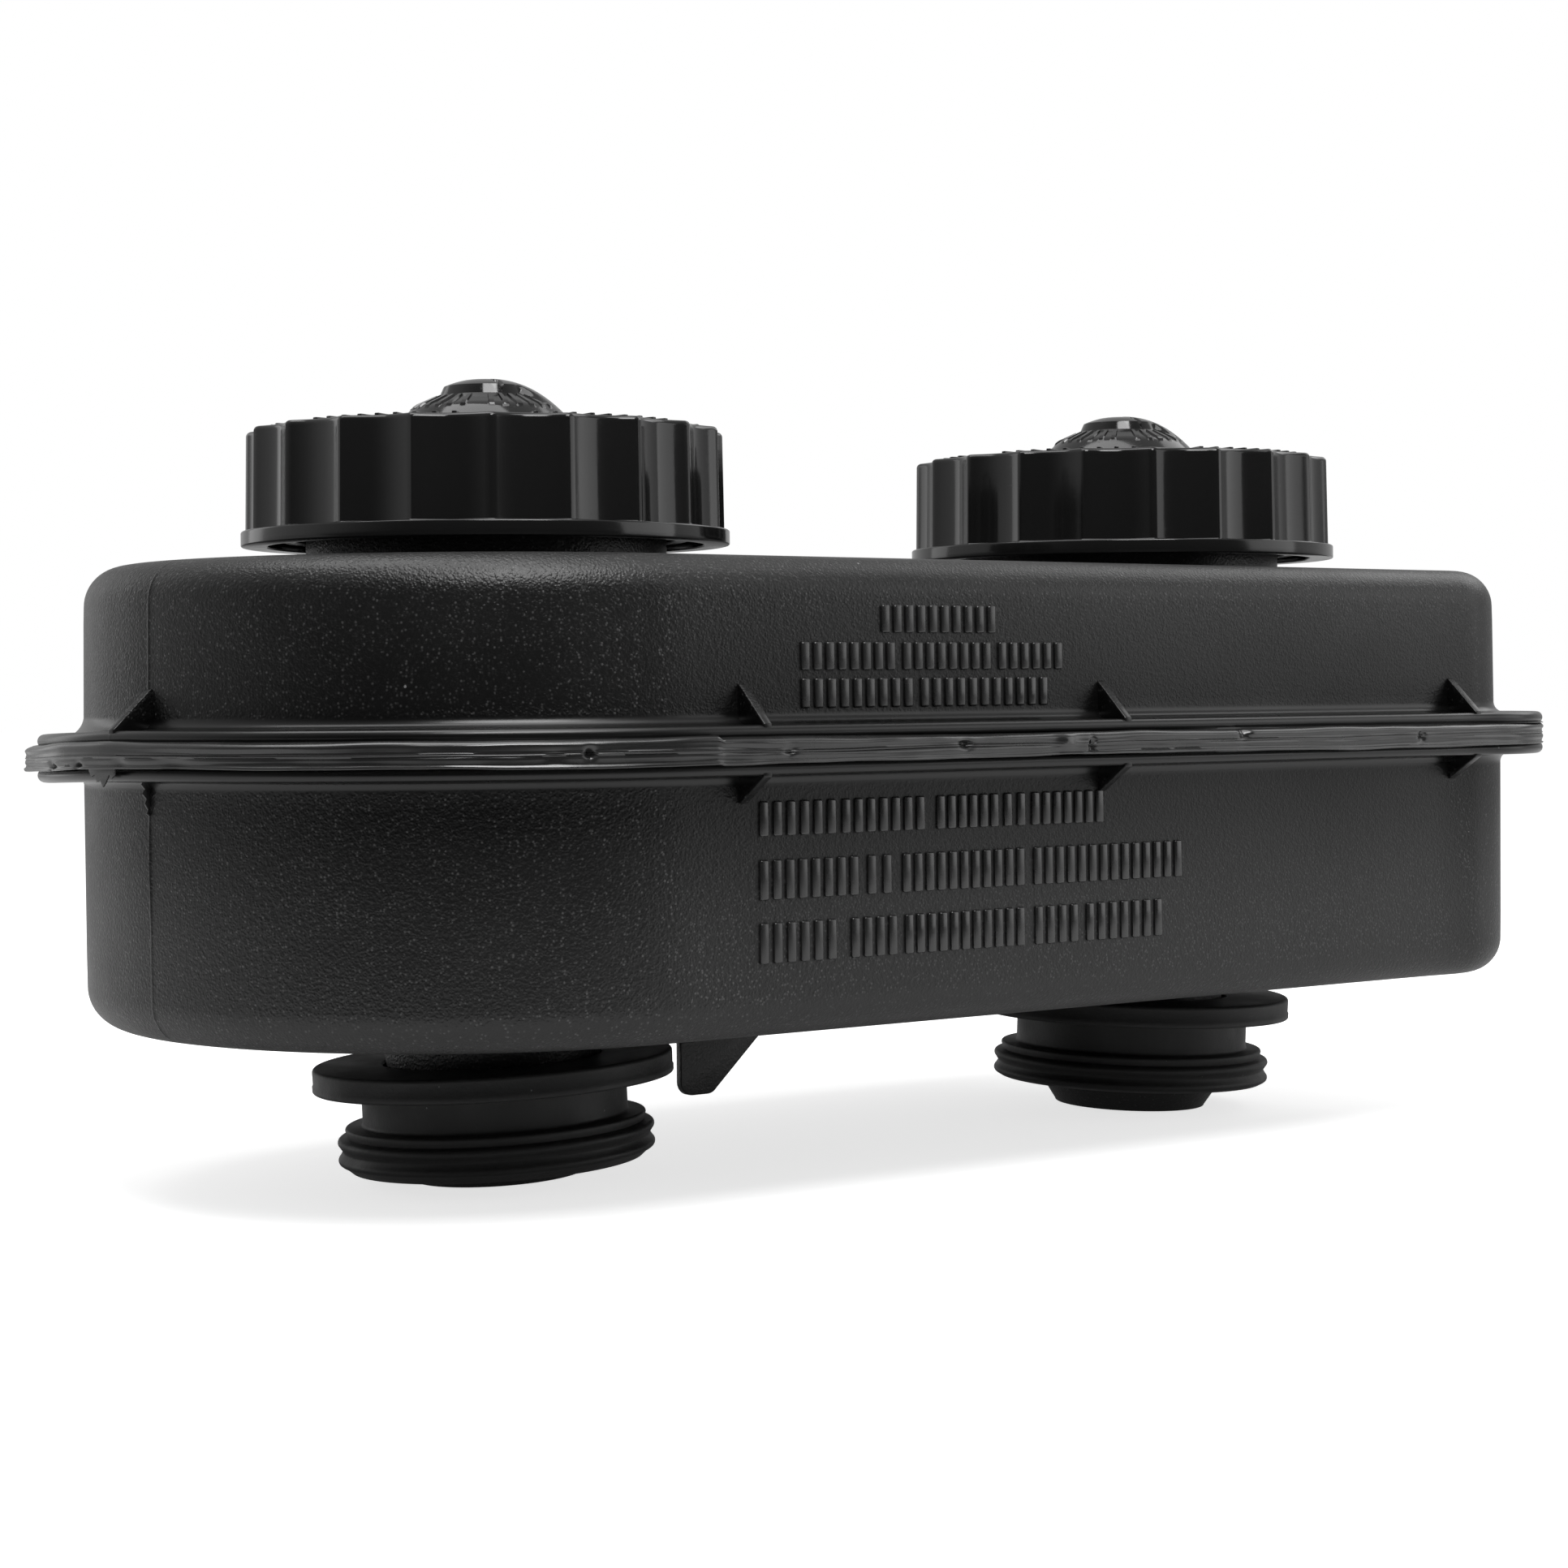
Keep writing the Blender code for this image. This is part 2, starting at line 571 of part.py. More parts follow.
def partial_turn(name, profile, start, sweep, cutters, x):
    """Turns a closed section part of the way round, with both ends capped."""
    bm = bmesh.new()
    section = bm.faces.new([bm.verts.new((radius, 0, z)) for radius, z in profile])
    bmesh.ops.rotate(bm, verts=bm.verts, cent=(0, 0, 0), matrix=Matrix.Rotation(start, 3, "Z"))
    steps = max(3, round(HUB_STEPS * sweep / (2 * math.pi)))
    bmesh.ops.spin(bm, geom=[section, *section.edges, *section.verts], cent=(0, 0, 0), axis=(0, 0, 1),
                   dvec=(0, 0, 0), angle=sweep, steps=steps, use_duplicate=False)
    bmesh.ops.recalc_face_normals(bm, faces=bm.faces)
    return object_from(name, bm, cutters, x)


def vent_notch(side, top_z, cutters, x):
    """A small V cut into the hub's button, point down, where the cap breathes."""
    high = top_z + HUB_HEIGHT
    points = (
        (-VENT_WIDTH / 2, high),
        (0.0, high - VENT_HEIGHT - HUB_RECESS_DEPTH),
        (VENT_WIDTH / 2, high),
    )
    bm = bmesh.new()
    upright_plate(points, 0.0, 0.0, 0.0, HUB_BUTTON_RADIUS, bm)
    reach = Vector((math.cos(VENT_ANGLE), math.sin(VENT_ANGLE), 0)) * HUB_BUTTON_RADIUS
    turn = Matrix.Rotation(VENT_ANGLE + math.pi / 2, 4, "Z")
    bmesh.ops.transform(bm, matrix=Matrix.Translation(reach) @ turn, verts=bm.verts)
    bmesh.ops.recalc_face_normals(bm, faces=bm.faces)
    return object_from(f"{side}_vent_notch", bm, cutters, x)


def bellows(side, x, parts, material):
    """The rubber seal under a cap: a flange on the neck's rim and folds hanging inside it."""
    outer = NECK_BORE_RADIUS - BELLOWS_CLEARANCE
    half = BELLOWS_SKIN / 2
    top = BELLOWS_TOP_Z
    under = top - BELLOWS_FLANGE_THICKNESS
    low = under - BELLOWS_DEPTH
    crest = low + BELLOWS_FOLD
    wall = outer - half
    fold = outer * 0.72
    middle = outer * 0.42
    centreline = (
        (wall, under + half),
        (wall, low + 2 * half),
        (wall - 2 * half, low + half),
        (fold + 3 * half, low + half),
        (fold + half, low + 3 * half),
        (fold, crest - half),
        (fold - 2 * half, crest),
        (middle + 2 * half, crest),
        (middle, crest - half),
        (middle - half, low + 3 * half),
        (middle - 3 * half, low + half),
        (0.0, low + half),
    )
    beneath = offset_line(centreline, half)
    above = offset_line(centreline, -half)
    flange = NECK_RADIUS + BELLOWS_FLANGE_OVERHANG
    profile = list(reversed(above[1:]))
    profile += [(above[0][0], top), (flange, top), (flange, under), (outer, under)]
    profile += beneath[1:]
    seal = turned(f"{side}_bellows", profile, BELLOWS_STEPS, parts, x)
    finish(seal, material)
    return seal


def offset_line(line, distance):
    """Moves an open line of (radius, z) points sideways; positive is right of its run."""
    moved = []
    for index, (radius, z) in enumerate(line):
        before = Vector(line[max(index - 1, 0)])
        after = Vector(line[min(index + 1, len(line) - 1)])
        if index == len(line) - 1:
            run = Vector((-1.0, 0.0))
        else:
            run = (after - before).normalized()
        moved.append((max(0.0, radius - distance * run.y), z + distance * run.x))
    return moved


def grommet(side, x, parts, material):
    """The rubber seat of a spigot: a flange, a neck, a shoulder and two sealing ribs."""
    flange_low = SPIGOT_NOSE_LENGTH + 2.5 * GROMMET_RIB_PITCH + GROMMET_NECK_LENGTH
    flange_top = flange_low + GROMMET_FLANGE_THICKNESS
    foot = SPIGOT_NOSE_LENGTH
    valley = GROMMET_RIB_RADIUS - GROMMET_RIB_DEPTH
    ribs = foot + 0.6 * GROMMET_RIB_PITCH
    chamfer = GROMMET_FLANGE_THICKNESS * 0.15
    profile = [
        (spigot_radius(flange_top) + SEAT_GAP, flange_top),
        (GROMMET_FLANGE_RADIUS - chamfer, flange_top),
        (GROMMET_FLANGE_RADIUS, flange_top - chamfer),
        (GROMMET_FLANGE_RADIUS, flange_low),
        (GROMMET_NECK_RADIUS, flange_low),
        (GROMMET_NECK_RADIUS, ribs + 2.1 * GROMMET_RIB_PITCH),
        (GROMMET_SHOULDER_RADIUS, ribs + 1.8 * GROMMET_RIB_PITCH),
        (GROMMET_SHOULDER_RADIUS, ribs + 1.5 * GROMMET_RIB_PITCH),
        (GROMMET_RIB_RADIUS, ribs + 1.15 * GROMMET_RIB_PITCH),
        (GROMMET_RIB_RADIUS, ribs + 0.85 * GROMMET_RIB_PITCH),
        (valley, ribs + 0.5 * GROMMET_RIB_PITCH),
        (GROMMET_RIB_RADIUS, ribs + 0.15 * GROMMET_RIB_PITCH),
        (GROMMET_RIB_RADIUS, ribs - 0.15 * GROMMET_RIB_PITCH),
        (GROMMET_FOOT_RADIUS, foot),
        (spigot_radius(foot) + SEAT_GAP, foot),
    ]
    seat = turned(f"{side}_grommet", profile, GROMMET_STEPS, parts, x, ring=True)
    finish(seat, material)
    return seat


def build():
    """Builds the whole reservoir."""
    clear_scene()
    parts = make_collection("brake_fluid_reservoir")
    cutters = make_collection("cutters")
    upper_shell(parts, cutters, make_material("upper_shell_plastic", SHELL_FINISH))
    lower_shell(parts, cutters, make_material("lower_shell_plastic", SHELL_FINISH))
    for side, x in NECK_PLACES.items():
        screw_cap(side, x, parts, cutters, make_material(f"{side}_cap_plastic", CAP_FINISH))
        bellows(side, x, parts, make_material(f"{side}_bellows_rubber", RUBBER_FINISH))
        grommet(side, x, parts, make_material(f"{side}_grommet_rubber", RUBBER_FINISH))


build()
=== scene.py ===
"""Looks of the twin-chamber brake fluid reservoir.

Each sub-assembly is a class with its sizes and its own mesh and finish: the two welded shells,
the weld bead between them, the screw caps, the bellows under them and the rubber grommets.
Sizes and courses are in millimetres, and the meshes are made in metres.
"""

import logging
import math
from dataclasses import dataclass, field
from enum import Enum
from typing import Callable, Iterable, Sequence

import bmesh
import bpy
from mathutils import Matrix, Vector, noise


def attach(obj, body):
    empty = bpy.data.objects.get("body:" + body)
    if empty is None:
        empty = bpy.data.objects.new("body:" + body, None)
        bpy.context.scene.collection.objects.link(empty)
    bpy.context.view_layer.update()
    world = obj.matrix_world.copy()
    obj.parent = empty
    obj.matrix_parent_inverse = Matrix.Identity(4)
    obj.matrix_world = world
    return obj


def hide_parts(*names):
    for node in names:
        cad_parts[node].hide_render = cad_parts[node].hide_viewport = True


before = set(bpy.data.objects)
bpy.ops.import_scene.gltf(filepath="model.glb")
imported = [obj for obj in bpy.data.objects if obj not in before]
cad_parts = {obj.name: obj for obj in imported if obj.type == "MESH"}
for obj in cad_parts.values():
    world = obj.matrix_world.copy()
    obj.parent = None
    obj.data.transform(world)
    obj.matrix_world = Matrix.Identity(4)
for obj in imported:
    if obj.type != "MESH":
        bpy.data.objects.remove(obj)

Mesh = bmesh.types.BMesh
Edges = list[bmesh.types.BMEdge]
Material = bpy.types.Material
Socket = bpy.types.NodeSocket
Tree = bpy.types.NodeTree
Pair = tuple[float, float]
Triple = tuple[float, float, float]
Row = tuple[float, float, float, float, float]
Place = Callable[[float], Vector]
Shift = Callable[[float], Pair]

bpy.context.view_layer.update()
LOG = logging.getLogger("reservoir")
MM = 0.001
# Heights of the weld, roof and floor, and the one below which the spigots lean.
WELD_Z, ROOF_Z, FLOOR_Z, PIVOT_Z = 66.5, 94.2, 25.4, 15.0
DRAFT = math.tan(math.radians(0.4))
WALL = 2.5
EDGE_FILLET = 6.0
THREAD_LEAD = 6.0
THREAD_STEPS = 96
THREAD_START = math.radians(200.0)
NECK_X = {"left": -55.55, "right": 75.45}
PHOTO_SIZE = 1932
SENSOR = 36.0
# Directions towards the camera and across its view, and the one in which the surround is dark.
TO_CAMERA = Vector((-0.5875, -0.8092, 0.0))
ACROSS_VIEW = Vector((0.8092, -0.5875, 0.0))
DARK_SIDE = (-0.438, -0.899)
# Course and width of the swelling of the lip and the bead behind the rounded end.
SWELLING = (512.0, 16.0)


class Body(Enum):
    """The rigid bodies that pieces ride on."""

    HOUSING = "reservoir"
    LEFT_SEAL = "left_seal"
    RIGHT_SEAL = "right_seal"
    LEFT_CAP = "left_screw_cap"
    RIGHT_CAP = "right_screw_cap"


class Side(Enum):
    """The two chambers of the reservoir."""

    LEFT = "left"
    RIGHT = "right"

    @property
    def x(self) -> float:
        """Distance of the chamber's neck and spigot from the middle."""
        return NECK_X[self.value]

    def body(self, kind: str) -> Body:
        """This side's body of a kind."""
        return Body(f"{self.value}_{kind}")


def smoothstep(low: float, high: float, value: float) -> float:
    """Eases from 0 where the value is low to 1 where it is high."""
    share = min(1.0, max(0.0, (value - low) / (high - low)))
    return share * share * (3.0 - 2.0 * share)


def span(value: float, start: Pair, end: Pair) -> float:
    """Eases from 0 to 1 across the start and back to 0 across the end."""
    return smoothstep(*start, value) * (1.0 - smoothstep(*end, value))


def hump(offset: float, width: float) -> float:
    """A smooth hump of height 1 where the offset is 0."""
    return math.exp(-((offset / width) ** 2))


def swelling(course: float) -> float:
    """How much of the swelling behind the rounded end there is at a course."""
    return hump(course - SWELLING[0], SWELLING[1])


def ripple(course: float, wave: float, seed: float) -> float:
    """Smooth noise along a run.

    Args:
        course: Distance along the run.
        wave: Length of one swell.
        seed: Picks one of many such runs.

    Returns:
        A number from about -1 to 1.
    """
    return noise.noise(Vector((course / wave, seed * 7.31, seed * 3.17)))


def ring(bm: Mesh, courses: Sequence[float], place: Place) -> Edges:
    """Starts a tube or sweep with a closed loop of edges.

    Args:
        bm: Mesh that gets the loop.
        courses: Each vertex's place along the loop.
        place: Gives the point for a course.

    Returns:
        The loop's edges.
    """
    layer = bm.verts.layers.float.get("course") or bm.verts.layers.float.new("course")
    made = bmesh.ops.create_circle(bm, cap_ends=False, radius=1.0, segments=len(courses))
    for vert, course in zip(made["verts"], courses):
        vert[layer] = course
        vert.co = place(course)
    return list({edge for vert in made["verts"] for edge in vert.link_edges})


def extend(bm: Mesh, edges: Edges, places: Iterable[Place]) -> Edges:
    """Extrudes a loop through a row of places.

    Args:
        bm: Mesh that holds the loop.
        edges: The loop's edges.
        places: One function per new loop, giving the point for a course.

    Returns:
        The last loop's edges.
    """
    layer = bm.verts.layers.float["course"]
    for place in places:
        made = bmesh.ops.extrude_edge_only(bm, edges=edges)["geom"]
        fresh = {item for item in made if isinstance(item, bmesh.types.BMVert)}
        for vert in fresh:
            vert.co = place(vert[layer])
        found = [item for item in made if isinstance(item, bmesh.types.BMEdge)]
        edges = [edge for edge in found if fresh.issuperset(edge.verts)]
    return edges


def loft(bm: Mesh, courses: Sequence[float], places: Sequence[Place]) -> tuple[Edges, Edges]:
    """Sweeps a tube through a row of places and returns its first and last loops."""
    start = ring(bm, courses, places[0])
    return start, extend(bm, start, places[1:])


def turn_place(x: float, radius: float, z: float) -> Place:
    """Returns a place function for a round loop about the axis at x."""
    return lambda angle: Vector((x + radius * math.cos(angle), radius * math.sin(angle), z)) * MM


def angles(count: int) -> list[float]:
    """Returns evenly spaced angles round a full turn."""
    return [2.0 * math.pi * step / count for step in range(count)]


def path(*parts: tuple[float, ...]) -> list[Pair]:
    """Points of a section of straight lines and arcs.

    Args:
        *parts: Points of (reach, height), and arcs of (middle's reach, middle's height, radius,
            first angle, last angle, number of straight bits) with the angles in degrees.

    Returns:
        The points in their order, with both ends of each arc.
    """
    points = []
    for x, z, *bend in parts:
        if not bend:
            points.append((x, z))
            continue
        radius, start, end, steps = bend
        turns = [math.radians(start + (end - start) * step / steps) for step in range(steps + 1)]
        points += [(x + radius * math.cos(turn), z + radius * math.sin(turn)) for turn in turns]
    return points


def turned(x: float, points: Iterable[Pair]) -> list[Place]:
    """Place functions of a section that is turned about the axis at x."""
    return [turn_place(x, radius, z) for radius, z in points]


def stand(x: float, y: float, z: float, angle: float = 0.0) -> Matrix:
    """Where something stands, and its turn about the upright axis in radians."""
    return Matrix.Translation(Vector((x, y, z)) * MM) @ Matrix.Rotation(angle, 4, "Z")


def append(bm: Mesh, other: Mesh, place: Matrix) -> None:
    """Moves another mesh's faces to their place in bm and frees it."""
    bmesh.ops.transform(other, matrix=place, verts=other.verts)
    spare = bpy.data.meshes.new("spare")
    other.to_mesh(spare)
    other.free()
    bm.from_mesh(spare)
    bpy.data.meshes.remove(spare)


def soften(bm: Mesh, rounding: float, segments: int) -> None:
    """Rounds all edges of a mesh with a number of facets across each."""
    bmesh.ops.bevel(
        bm, geom=list(bm.edges), offset=rounding * MM, offset_type="OFFSET", segments=segments,
        profile=0.5, affect="EDGES", clamp_overlap=True, material=-1,
    )


def thread(bm: Mesh, x: float, root: float, tip: float, middle: float) -> None:
    """Adds one turn of thread, a helical ridge that is capped at both ends.

    Args:
        bm: Mesh that gets the ridge.
        x: Place of the axis.
        root: Radius at the ridge's foot, inside its wall.
        tip: Radius at its crest.
        middle: Height of its middle where it starts.
    """
    soft = tip + math.copysign(0.2, root - tip)
    section = ((root, -1.4), (soft, -0.75), (tip, -0.45), (tip, 0.45), (soft, 0.75), (root, 1.4))
    fresh = bmesh.new()
    face = fresh.faces.new([fresh.verts.new(Vector((radius, 0.0, middle + z)) * MM) for radius, z in section])
    bmesh.ops.rotate(fresh, verts=fresh.verts, cent=(0, 0, 0), matrix=Matrix.Rotation(THREAD_START, 3, "Z"))
    bmesh.ops.spin(
        fresh, geom=[face, *face.edges, *face.verts], cent=(0, 0, 0), axis=(0, 0, 1),
        dvec=(0, 0, THREAD_LEAD * MM / THREAD_STEPS), angle=2.0 * math.pi, steps=THREAD_STEPS, use_duplicate=False,
    )
    bmesh.ops.recalc_face_normals(fresh, faces=fresh.faces)
    append(bm, fresh, stand(x, 0, 0))


def block(bm: Mesh, size: Sequence[float], place: Matrix, rounding: float, segments: int = 2) -> None:
    """Adds a rounded block.

    Args:
        bm: Mesh that gets the block.
        size: Its lengths along its own axes.
        place: Where it stands and how it is turned.
        rounding: Radius of its edges.
        segments: Facets across each rounded edge.
    """
    fresh = bmesh.new()
    bmesh.ops.create_cube(fresh, size=1.0, matrix=Matrix.Diagonal((*(Vector(size) * MM), 1.0)))
    soften(fresh, rounding, segments)
    append(bm, fresh, place)


def plate(bm: Mesh, outline: Sequence[Pair], thickness: float, place: Matrix, rounding: float) -> None:
    """Adds a flat plate standing on edge, with rounded edges.

    Args:
        bm: Mesh that gets the plate.
        outline: Points of (reach, height).
        thickness: How thick it is.
        place: Where it stands and how it is turned.
        rounding: Radius of its edges.
    """
    fresh = bmesh.new()
    face = fresh.faces.new([fresh.verts.new(Vector((reach, -thickness / 2, z)) * MM) for reach, z in outline])
    grown = bmesh.ops.extrude_face_region(fresh, geom=[face])["geom"]
    far = [item for item in grown if isinstance(item, bmesh.types.BMVert)]
    bmesh.ops.translate(fresh, verts=far, vec=(0, thickness * MM, 0))
    bmesh.ops.recalc_face_normals(fresh, faces=fresh.faces)
    soften(fresh, rounding, 3)
    append(bm, fresh, place)


def piece(
    name: str, bm: Mesh, material: Material, body: Body, replaces: Sequence[str], sharp: float = 32.0
) -> None:
    """Turns a mesh into a finished piece of the scene.

    Args:
        name: The piece's name.
        bm: Its mesh, which is freed.
        material: Its finish.
        body: The rigid body that it rides on.
        replaces: CAD nodes that it stands for.
        sharp: Edges over this angle in degrees stay sharp.
    """
    bmesh.ops.remove_doubles(bm, verts=bm.verts, dist=MM / 1000)
    bmesh.ops.recalc_face_normals(bm, faces=bm.faces)
    mesh = bpy.data.meshes.new(name)
    bm.to_mesh(mesh)
    bm.free()
    mesh.shade_smooth()
    mesh.set_sharp_from_angle(angle=math.radians(sharp))
    mesh.materials.append(material)
    item = bpy.data.objects.new(name, mesh)
    bpy.context.scene.collection.objects.link(item)
    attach(item, body.value)
    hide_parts(*replaces)
    LOG.info("%s: %d faces on %s", name, len(mesh.polygons), body.value)


@dataclass(frozen=True)
class BodyPlan:
    """Plan of the housing's wall: a half-round left end and a square right end."""

    half_length: float = 116.75
    half_depth: float = 59.0
    corner: float = 16.0
    end_angle: float = math.radians(9.0)

    @property
    def end_x(self) -> float:
        """Middle of the round end."""
        return self.half_depth - self.half_length

    @property
    def runs(self) -> tuple[float, ...]:
        """Lengths of the front, corner, right end, corner, back and round end."""
        straight = self.half_length - self.corner - self.end_x
        bend = self.corner * math.pi / 2
        side = 2 * (self.half_depth - self.corner)
        return (straight, bend, side, bend, straight, self.half_depth * math.pi)

    @property
    def girth(self) -> float:
        """Length all the way round."""
        return sum(self.runs)

    @property
    def partings(self) -> Pair:
        """Courses of the mould's parting line on the round end and on the square end."""
        round_end = sum(self.runs[:5]) + self.half_depth * (math.pi / 2 + self.end_angle)
        return round_end, sum(self.runs[:2]) + self.runs[2] / 2

    def station(self, course: float) -> tuple[Vector, Vector]:
        """Point on the wall and its outward direction.

        Args:
            course: Distance along the wall from the left of the front panel.

        Returns:
            The point and the unit direction away from the body.
        """
        x, y = self.half_length - self.corner, self.half_depth - self.corner
        round_end, front, back = (self.end_x, 0.0, self.half_depth), (x, -y, self.corner), (x, y, self.corner)
        left = course % self.girth
        spine = zip(self.runs, (round_end, front, front, back, back, round_end))
        for step, (run, (x, y, radius)) in enumerate(spine):
            if left < run or step == 5:
                break
            left -= run
        angle = (step // 2 - 1) * math.pi / 2
        if step % 2:
            angle, left = angle + left / radius, 0.0
        out = Vector((math.cos(angle), math.sin(angle), 0))
        return Vector((x - left * out.y, y + left * out.x, 0)) + out * radius, out

    def courses(self, spacing: float, spots: Iterable[tuple[float, float, float, int]]) -> list[float]:
        """Stations round the wall, closer together at some spots.

        Args:
            spacing: Usual distance between stations.
            spots: Each spot's middle, reach, gap beyond the reach and number of steps to each side.

        Returns:
            The stations in their order.
        """
        count = round(self.girth / spacing)
        places = [self.girth * step / count for step in range(count)]
        for middle, reach, gap, steps in spots:
            places = [place for place in places if abs(place - middle) > reach + gap]
            places += [middle + reach * step / steps for step in range(-steps, steps + 1)]
        return sorted(places)

    def at(self, out: float, z: float, sway: Shift) -> Place:
        """Place function for a loop at a reach and height.

        Args:
            out: Reach beyond the nominal wall.
            z: Height.
            sway: Adds (reach, height) along the course.

        Returns:
            A function from course to point.
        """

        def place(course: float) -> Vector:
            point, normal = self.station(course)
            more_out, more_z = sway(course)
            return (point + normal * (out + more_out) + Vector((0, 0, z + more_z))) * MM

        return place


PLAN = BodyPlan()


@dataclass
class Graph:
    """A shader's node tree, with short ways to add nodes that are joined."""

    tree: Tree

    def node(self, kind: str, values: dict | None = None, **options: object) -> bpy.types.Node:
        """Adds a node.

        Args:
            kind: Type of node, without the common prefix.
            values: Sockets or plain values for its inputs, by name or index.
            **options: Properties of the node.

        Returns:
            The new node.
        """
        made = self.tree.nodes.new("ShaderNode" + kind)
        for label, value in options.items():
            setattr(made, label, value)
        for label, value in (values or {}).items():
            if isinstance(value, Socket):
                self.tree.links.new(value, made.inputs[label])
            else:
                made.inputs[label].default_value = value
        return made

    def math(self, operation: str, *values: Socket | float) -> Socket:
        """Result of a Math node."""
        return self.node("Math", dict(enumerate(values)), operation=operation).outputs[0]

    def times(self, first: Socket | float, second: Socket | float) -> Socket:
        """Product of two values."""
        return self.math("MULTIPLY", first, second)

    def plus(self, first: Socket | float, second: Socket | float) -> Socket:
        """Sum of two values."""
        return self.math("ADD", first, second)

    def minus(self, first: Socket | float, second: Socket | float) -> Socket:
        """First value less the second."""
        return self.math("SUBTRACT", first, second)

    def ramp(self, source: Socket, low: float, high: float, out_low: float = 0.0, out_high: float = 1.0) -> Socket:
        """Maps a value smoothly from one range to another.

        Args:
            source: Value to map.
            low: Start of its range.
            high: End of its range.
            out_low: Result at low.
            out_high: Result at high.

        Returns:
            The mapped value's socket.
        """
        values = {"Value": source, "From Min": low, "From Max": high, "To Min": out_low, "To Max": out_high}
        return self.node("MapRange", values, interpolation_type="SMOOTHSTEP").outputs["Result"]

    def dot(self, vector: Socket, direction: Sequence[float]) -> Socket:
        """How far a vector goes in a direction."""
        return self.node("VectorMath", {0: vector, 1: direction}, operation="DOT_PRODUCT").outputs["Value"]

    def mix(self, mask: Socket, first: Socket | float, second: float) -> Socket:
        """Blends a colour or a grey level into another grey level by a mask."""
        greys = [item if isinstance(item, Socket) else (item, item, item, 1.0) for item in (first, second)]
        return self.node("Mix", {0: mask, 6: greys[0], 7: greys[1]}, data_type="RGBA").outputs[2]

    def place(self, effect: Tree, vector: Socket, **values: float) -> bpy.types.NodeOutputs:
        """Puts in a shared effect and returns its results."""
        return self.node("Group", {"Vector": vector, **values}, node_tree=effect).outputs


def start_effect(
    name: str, values: dict[str, float], results: Sequence[str]
) -> tuple[Graph, bpy.types.NodeOutputs, bpy.types.NodeInputs]:
    """Starts a node group that takes coordinates and numbers.

    Args:
        name: The group's name.
        values: Its numbers with their usual values.
        results: Names of its results, all numbers.

    Returns:
        The group's graph, what feeds it and the inputs of its results.
    """
    tree = bpy.data.node_groups.new(name, "ShaderNodeTree")
    tree.interface.new_socket("Vector", in_out="INPUT", socket_type="NodeSocketVector")
    for label, value in values.items():
        socket = tree.interface.new_socket(label, in_out="INPUT", socket_type="NodeSocketFloat")
        socket.default_value = value
    for label in results:
        tree.interface.new_socket(label, in_out="OUTPUT", socket_type="NodeSocketFloat")
    feed, out = tree.nodes.new("NodeGroupInput"), tree.nodes.new("NodeGroupOutput")
    return Graph(tree), feed.outputs, out.inputs


def eroded_grain() -> Tree:
    """Grain that spark erosion leaves in a mould: pimples of under half a millimetre, and a mask of some of them
    that the housing paints as glints.
    """
    graph, feed, out = start_effect("eroded_grain", {"Pitch": 2100.0}, ("Height", "Sparkle"))
    spot, pitch = feed["Vector"], feed["Pitch"]
    coarse = {"Vector": spot, "Scale": graph.times(pitch, 0.8), "Detail": 1.0, "Roughness": 0.5}
    pimples = graph.node("TexVoronoi", {"Vector": spot, "Scale": pitch, "Randomness": 1.0}).outputs
    tone = graph.node("SeparateColor", {"Color": pimples["Color"]}).outputs
    crown = graph.ramp(pimples["Distance"], 0.05, 0.6, 1.0, 0.0)
    hills = graph.ramp(graph.node("TexNoise", coarse).outputs["Fac"], 0.3, 0.7)
    graph.tree.links.new(graph.plus(graph.times(hills, 0.5), graph.times(crown, 0.5)), out["Height"])
    graph.tree.links.new(graph.times(graph.ramp(tone["Green"], 0.7, 0.95), crown), out["Sparkle"])
    return graph.tree


def dust_specks() -> Tree:
    """Fine specks of settled dust, fewer where Amount is lower."""
    graph, feed, out = start_effect("dust_specks", {"Pitch": 500.0, "Amount": 0.1}, ("Mask",))
    cells = {"Vector": feed["Vector"], "Scale": feed["Pitch"], "Randomness": 1.0}
    cells = graph.node("TexVoronoi", cells).outputs
    tone = graph.node("SeparateColor", {"Color": cells["Color"]}).outputs
    chosen = graph.math("LESS_THAN", tone["Red"], feed["Amount"])
    size = graph.math("MULTIPLY_ADD", tone["Green"], 0.1, 0.03)
    speck = graph.math("LESS_THAN", cells["Distance"], size)
    graph.tree.links.new(graph.times(chosen, speck), out["Mask"])
    return graph.tree


def haze_and_rubs() -> Tree:
    """Slow unevenness of a surface, with thin rub marks across it."""
    graph, feed, out = start_effect("haze_and_rubs", {"Pitch": 30.0}, ("Haze", "Rubs"))
    spot, pitch = feed["Vector"], feed["Pitch"]
    cloud = graph.node("TexNoise", {"Vector": spot, "Scale": pitch, "Detail": 4.0, "Roughness": 0.6})
    stretch = graph.node("Mapping", {"Vector": spot, "Rotation": (0.4, 0.2, 0.7), "Scale": (9.0, 0.6, 7.0)})
    rubs = {"Vector": stretch.outputs["Vector"], "Scale": graph.times(pitch, 4.0), "Detail": 3.0, "Roughness": 0.65}
    graph.tree.links.new(cloud.outputs["Fac"], out["Haze"])
    graph.tree.links.new(graph.ramp(graph.node("TexNoise", rubs).outputs["Fac"], 0.62, 0.72), out["Rubs"])
    return graph.tree


@dataclass
class Effects:
    """The node groups that the finishes share."""

    grain: Tree = field(default_factory=eroded_grain)
    dust: Tree = field(default_factory=dust_specks)
    haze: Tree = field(default_factory=haze_and_rubs)


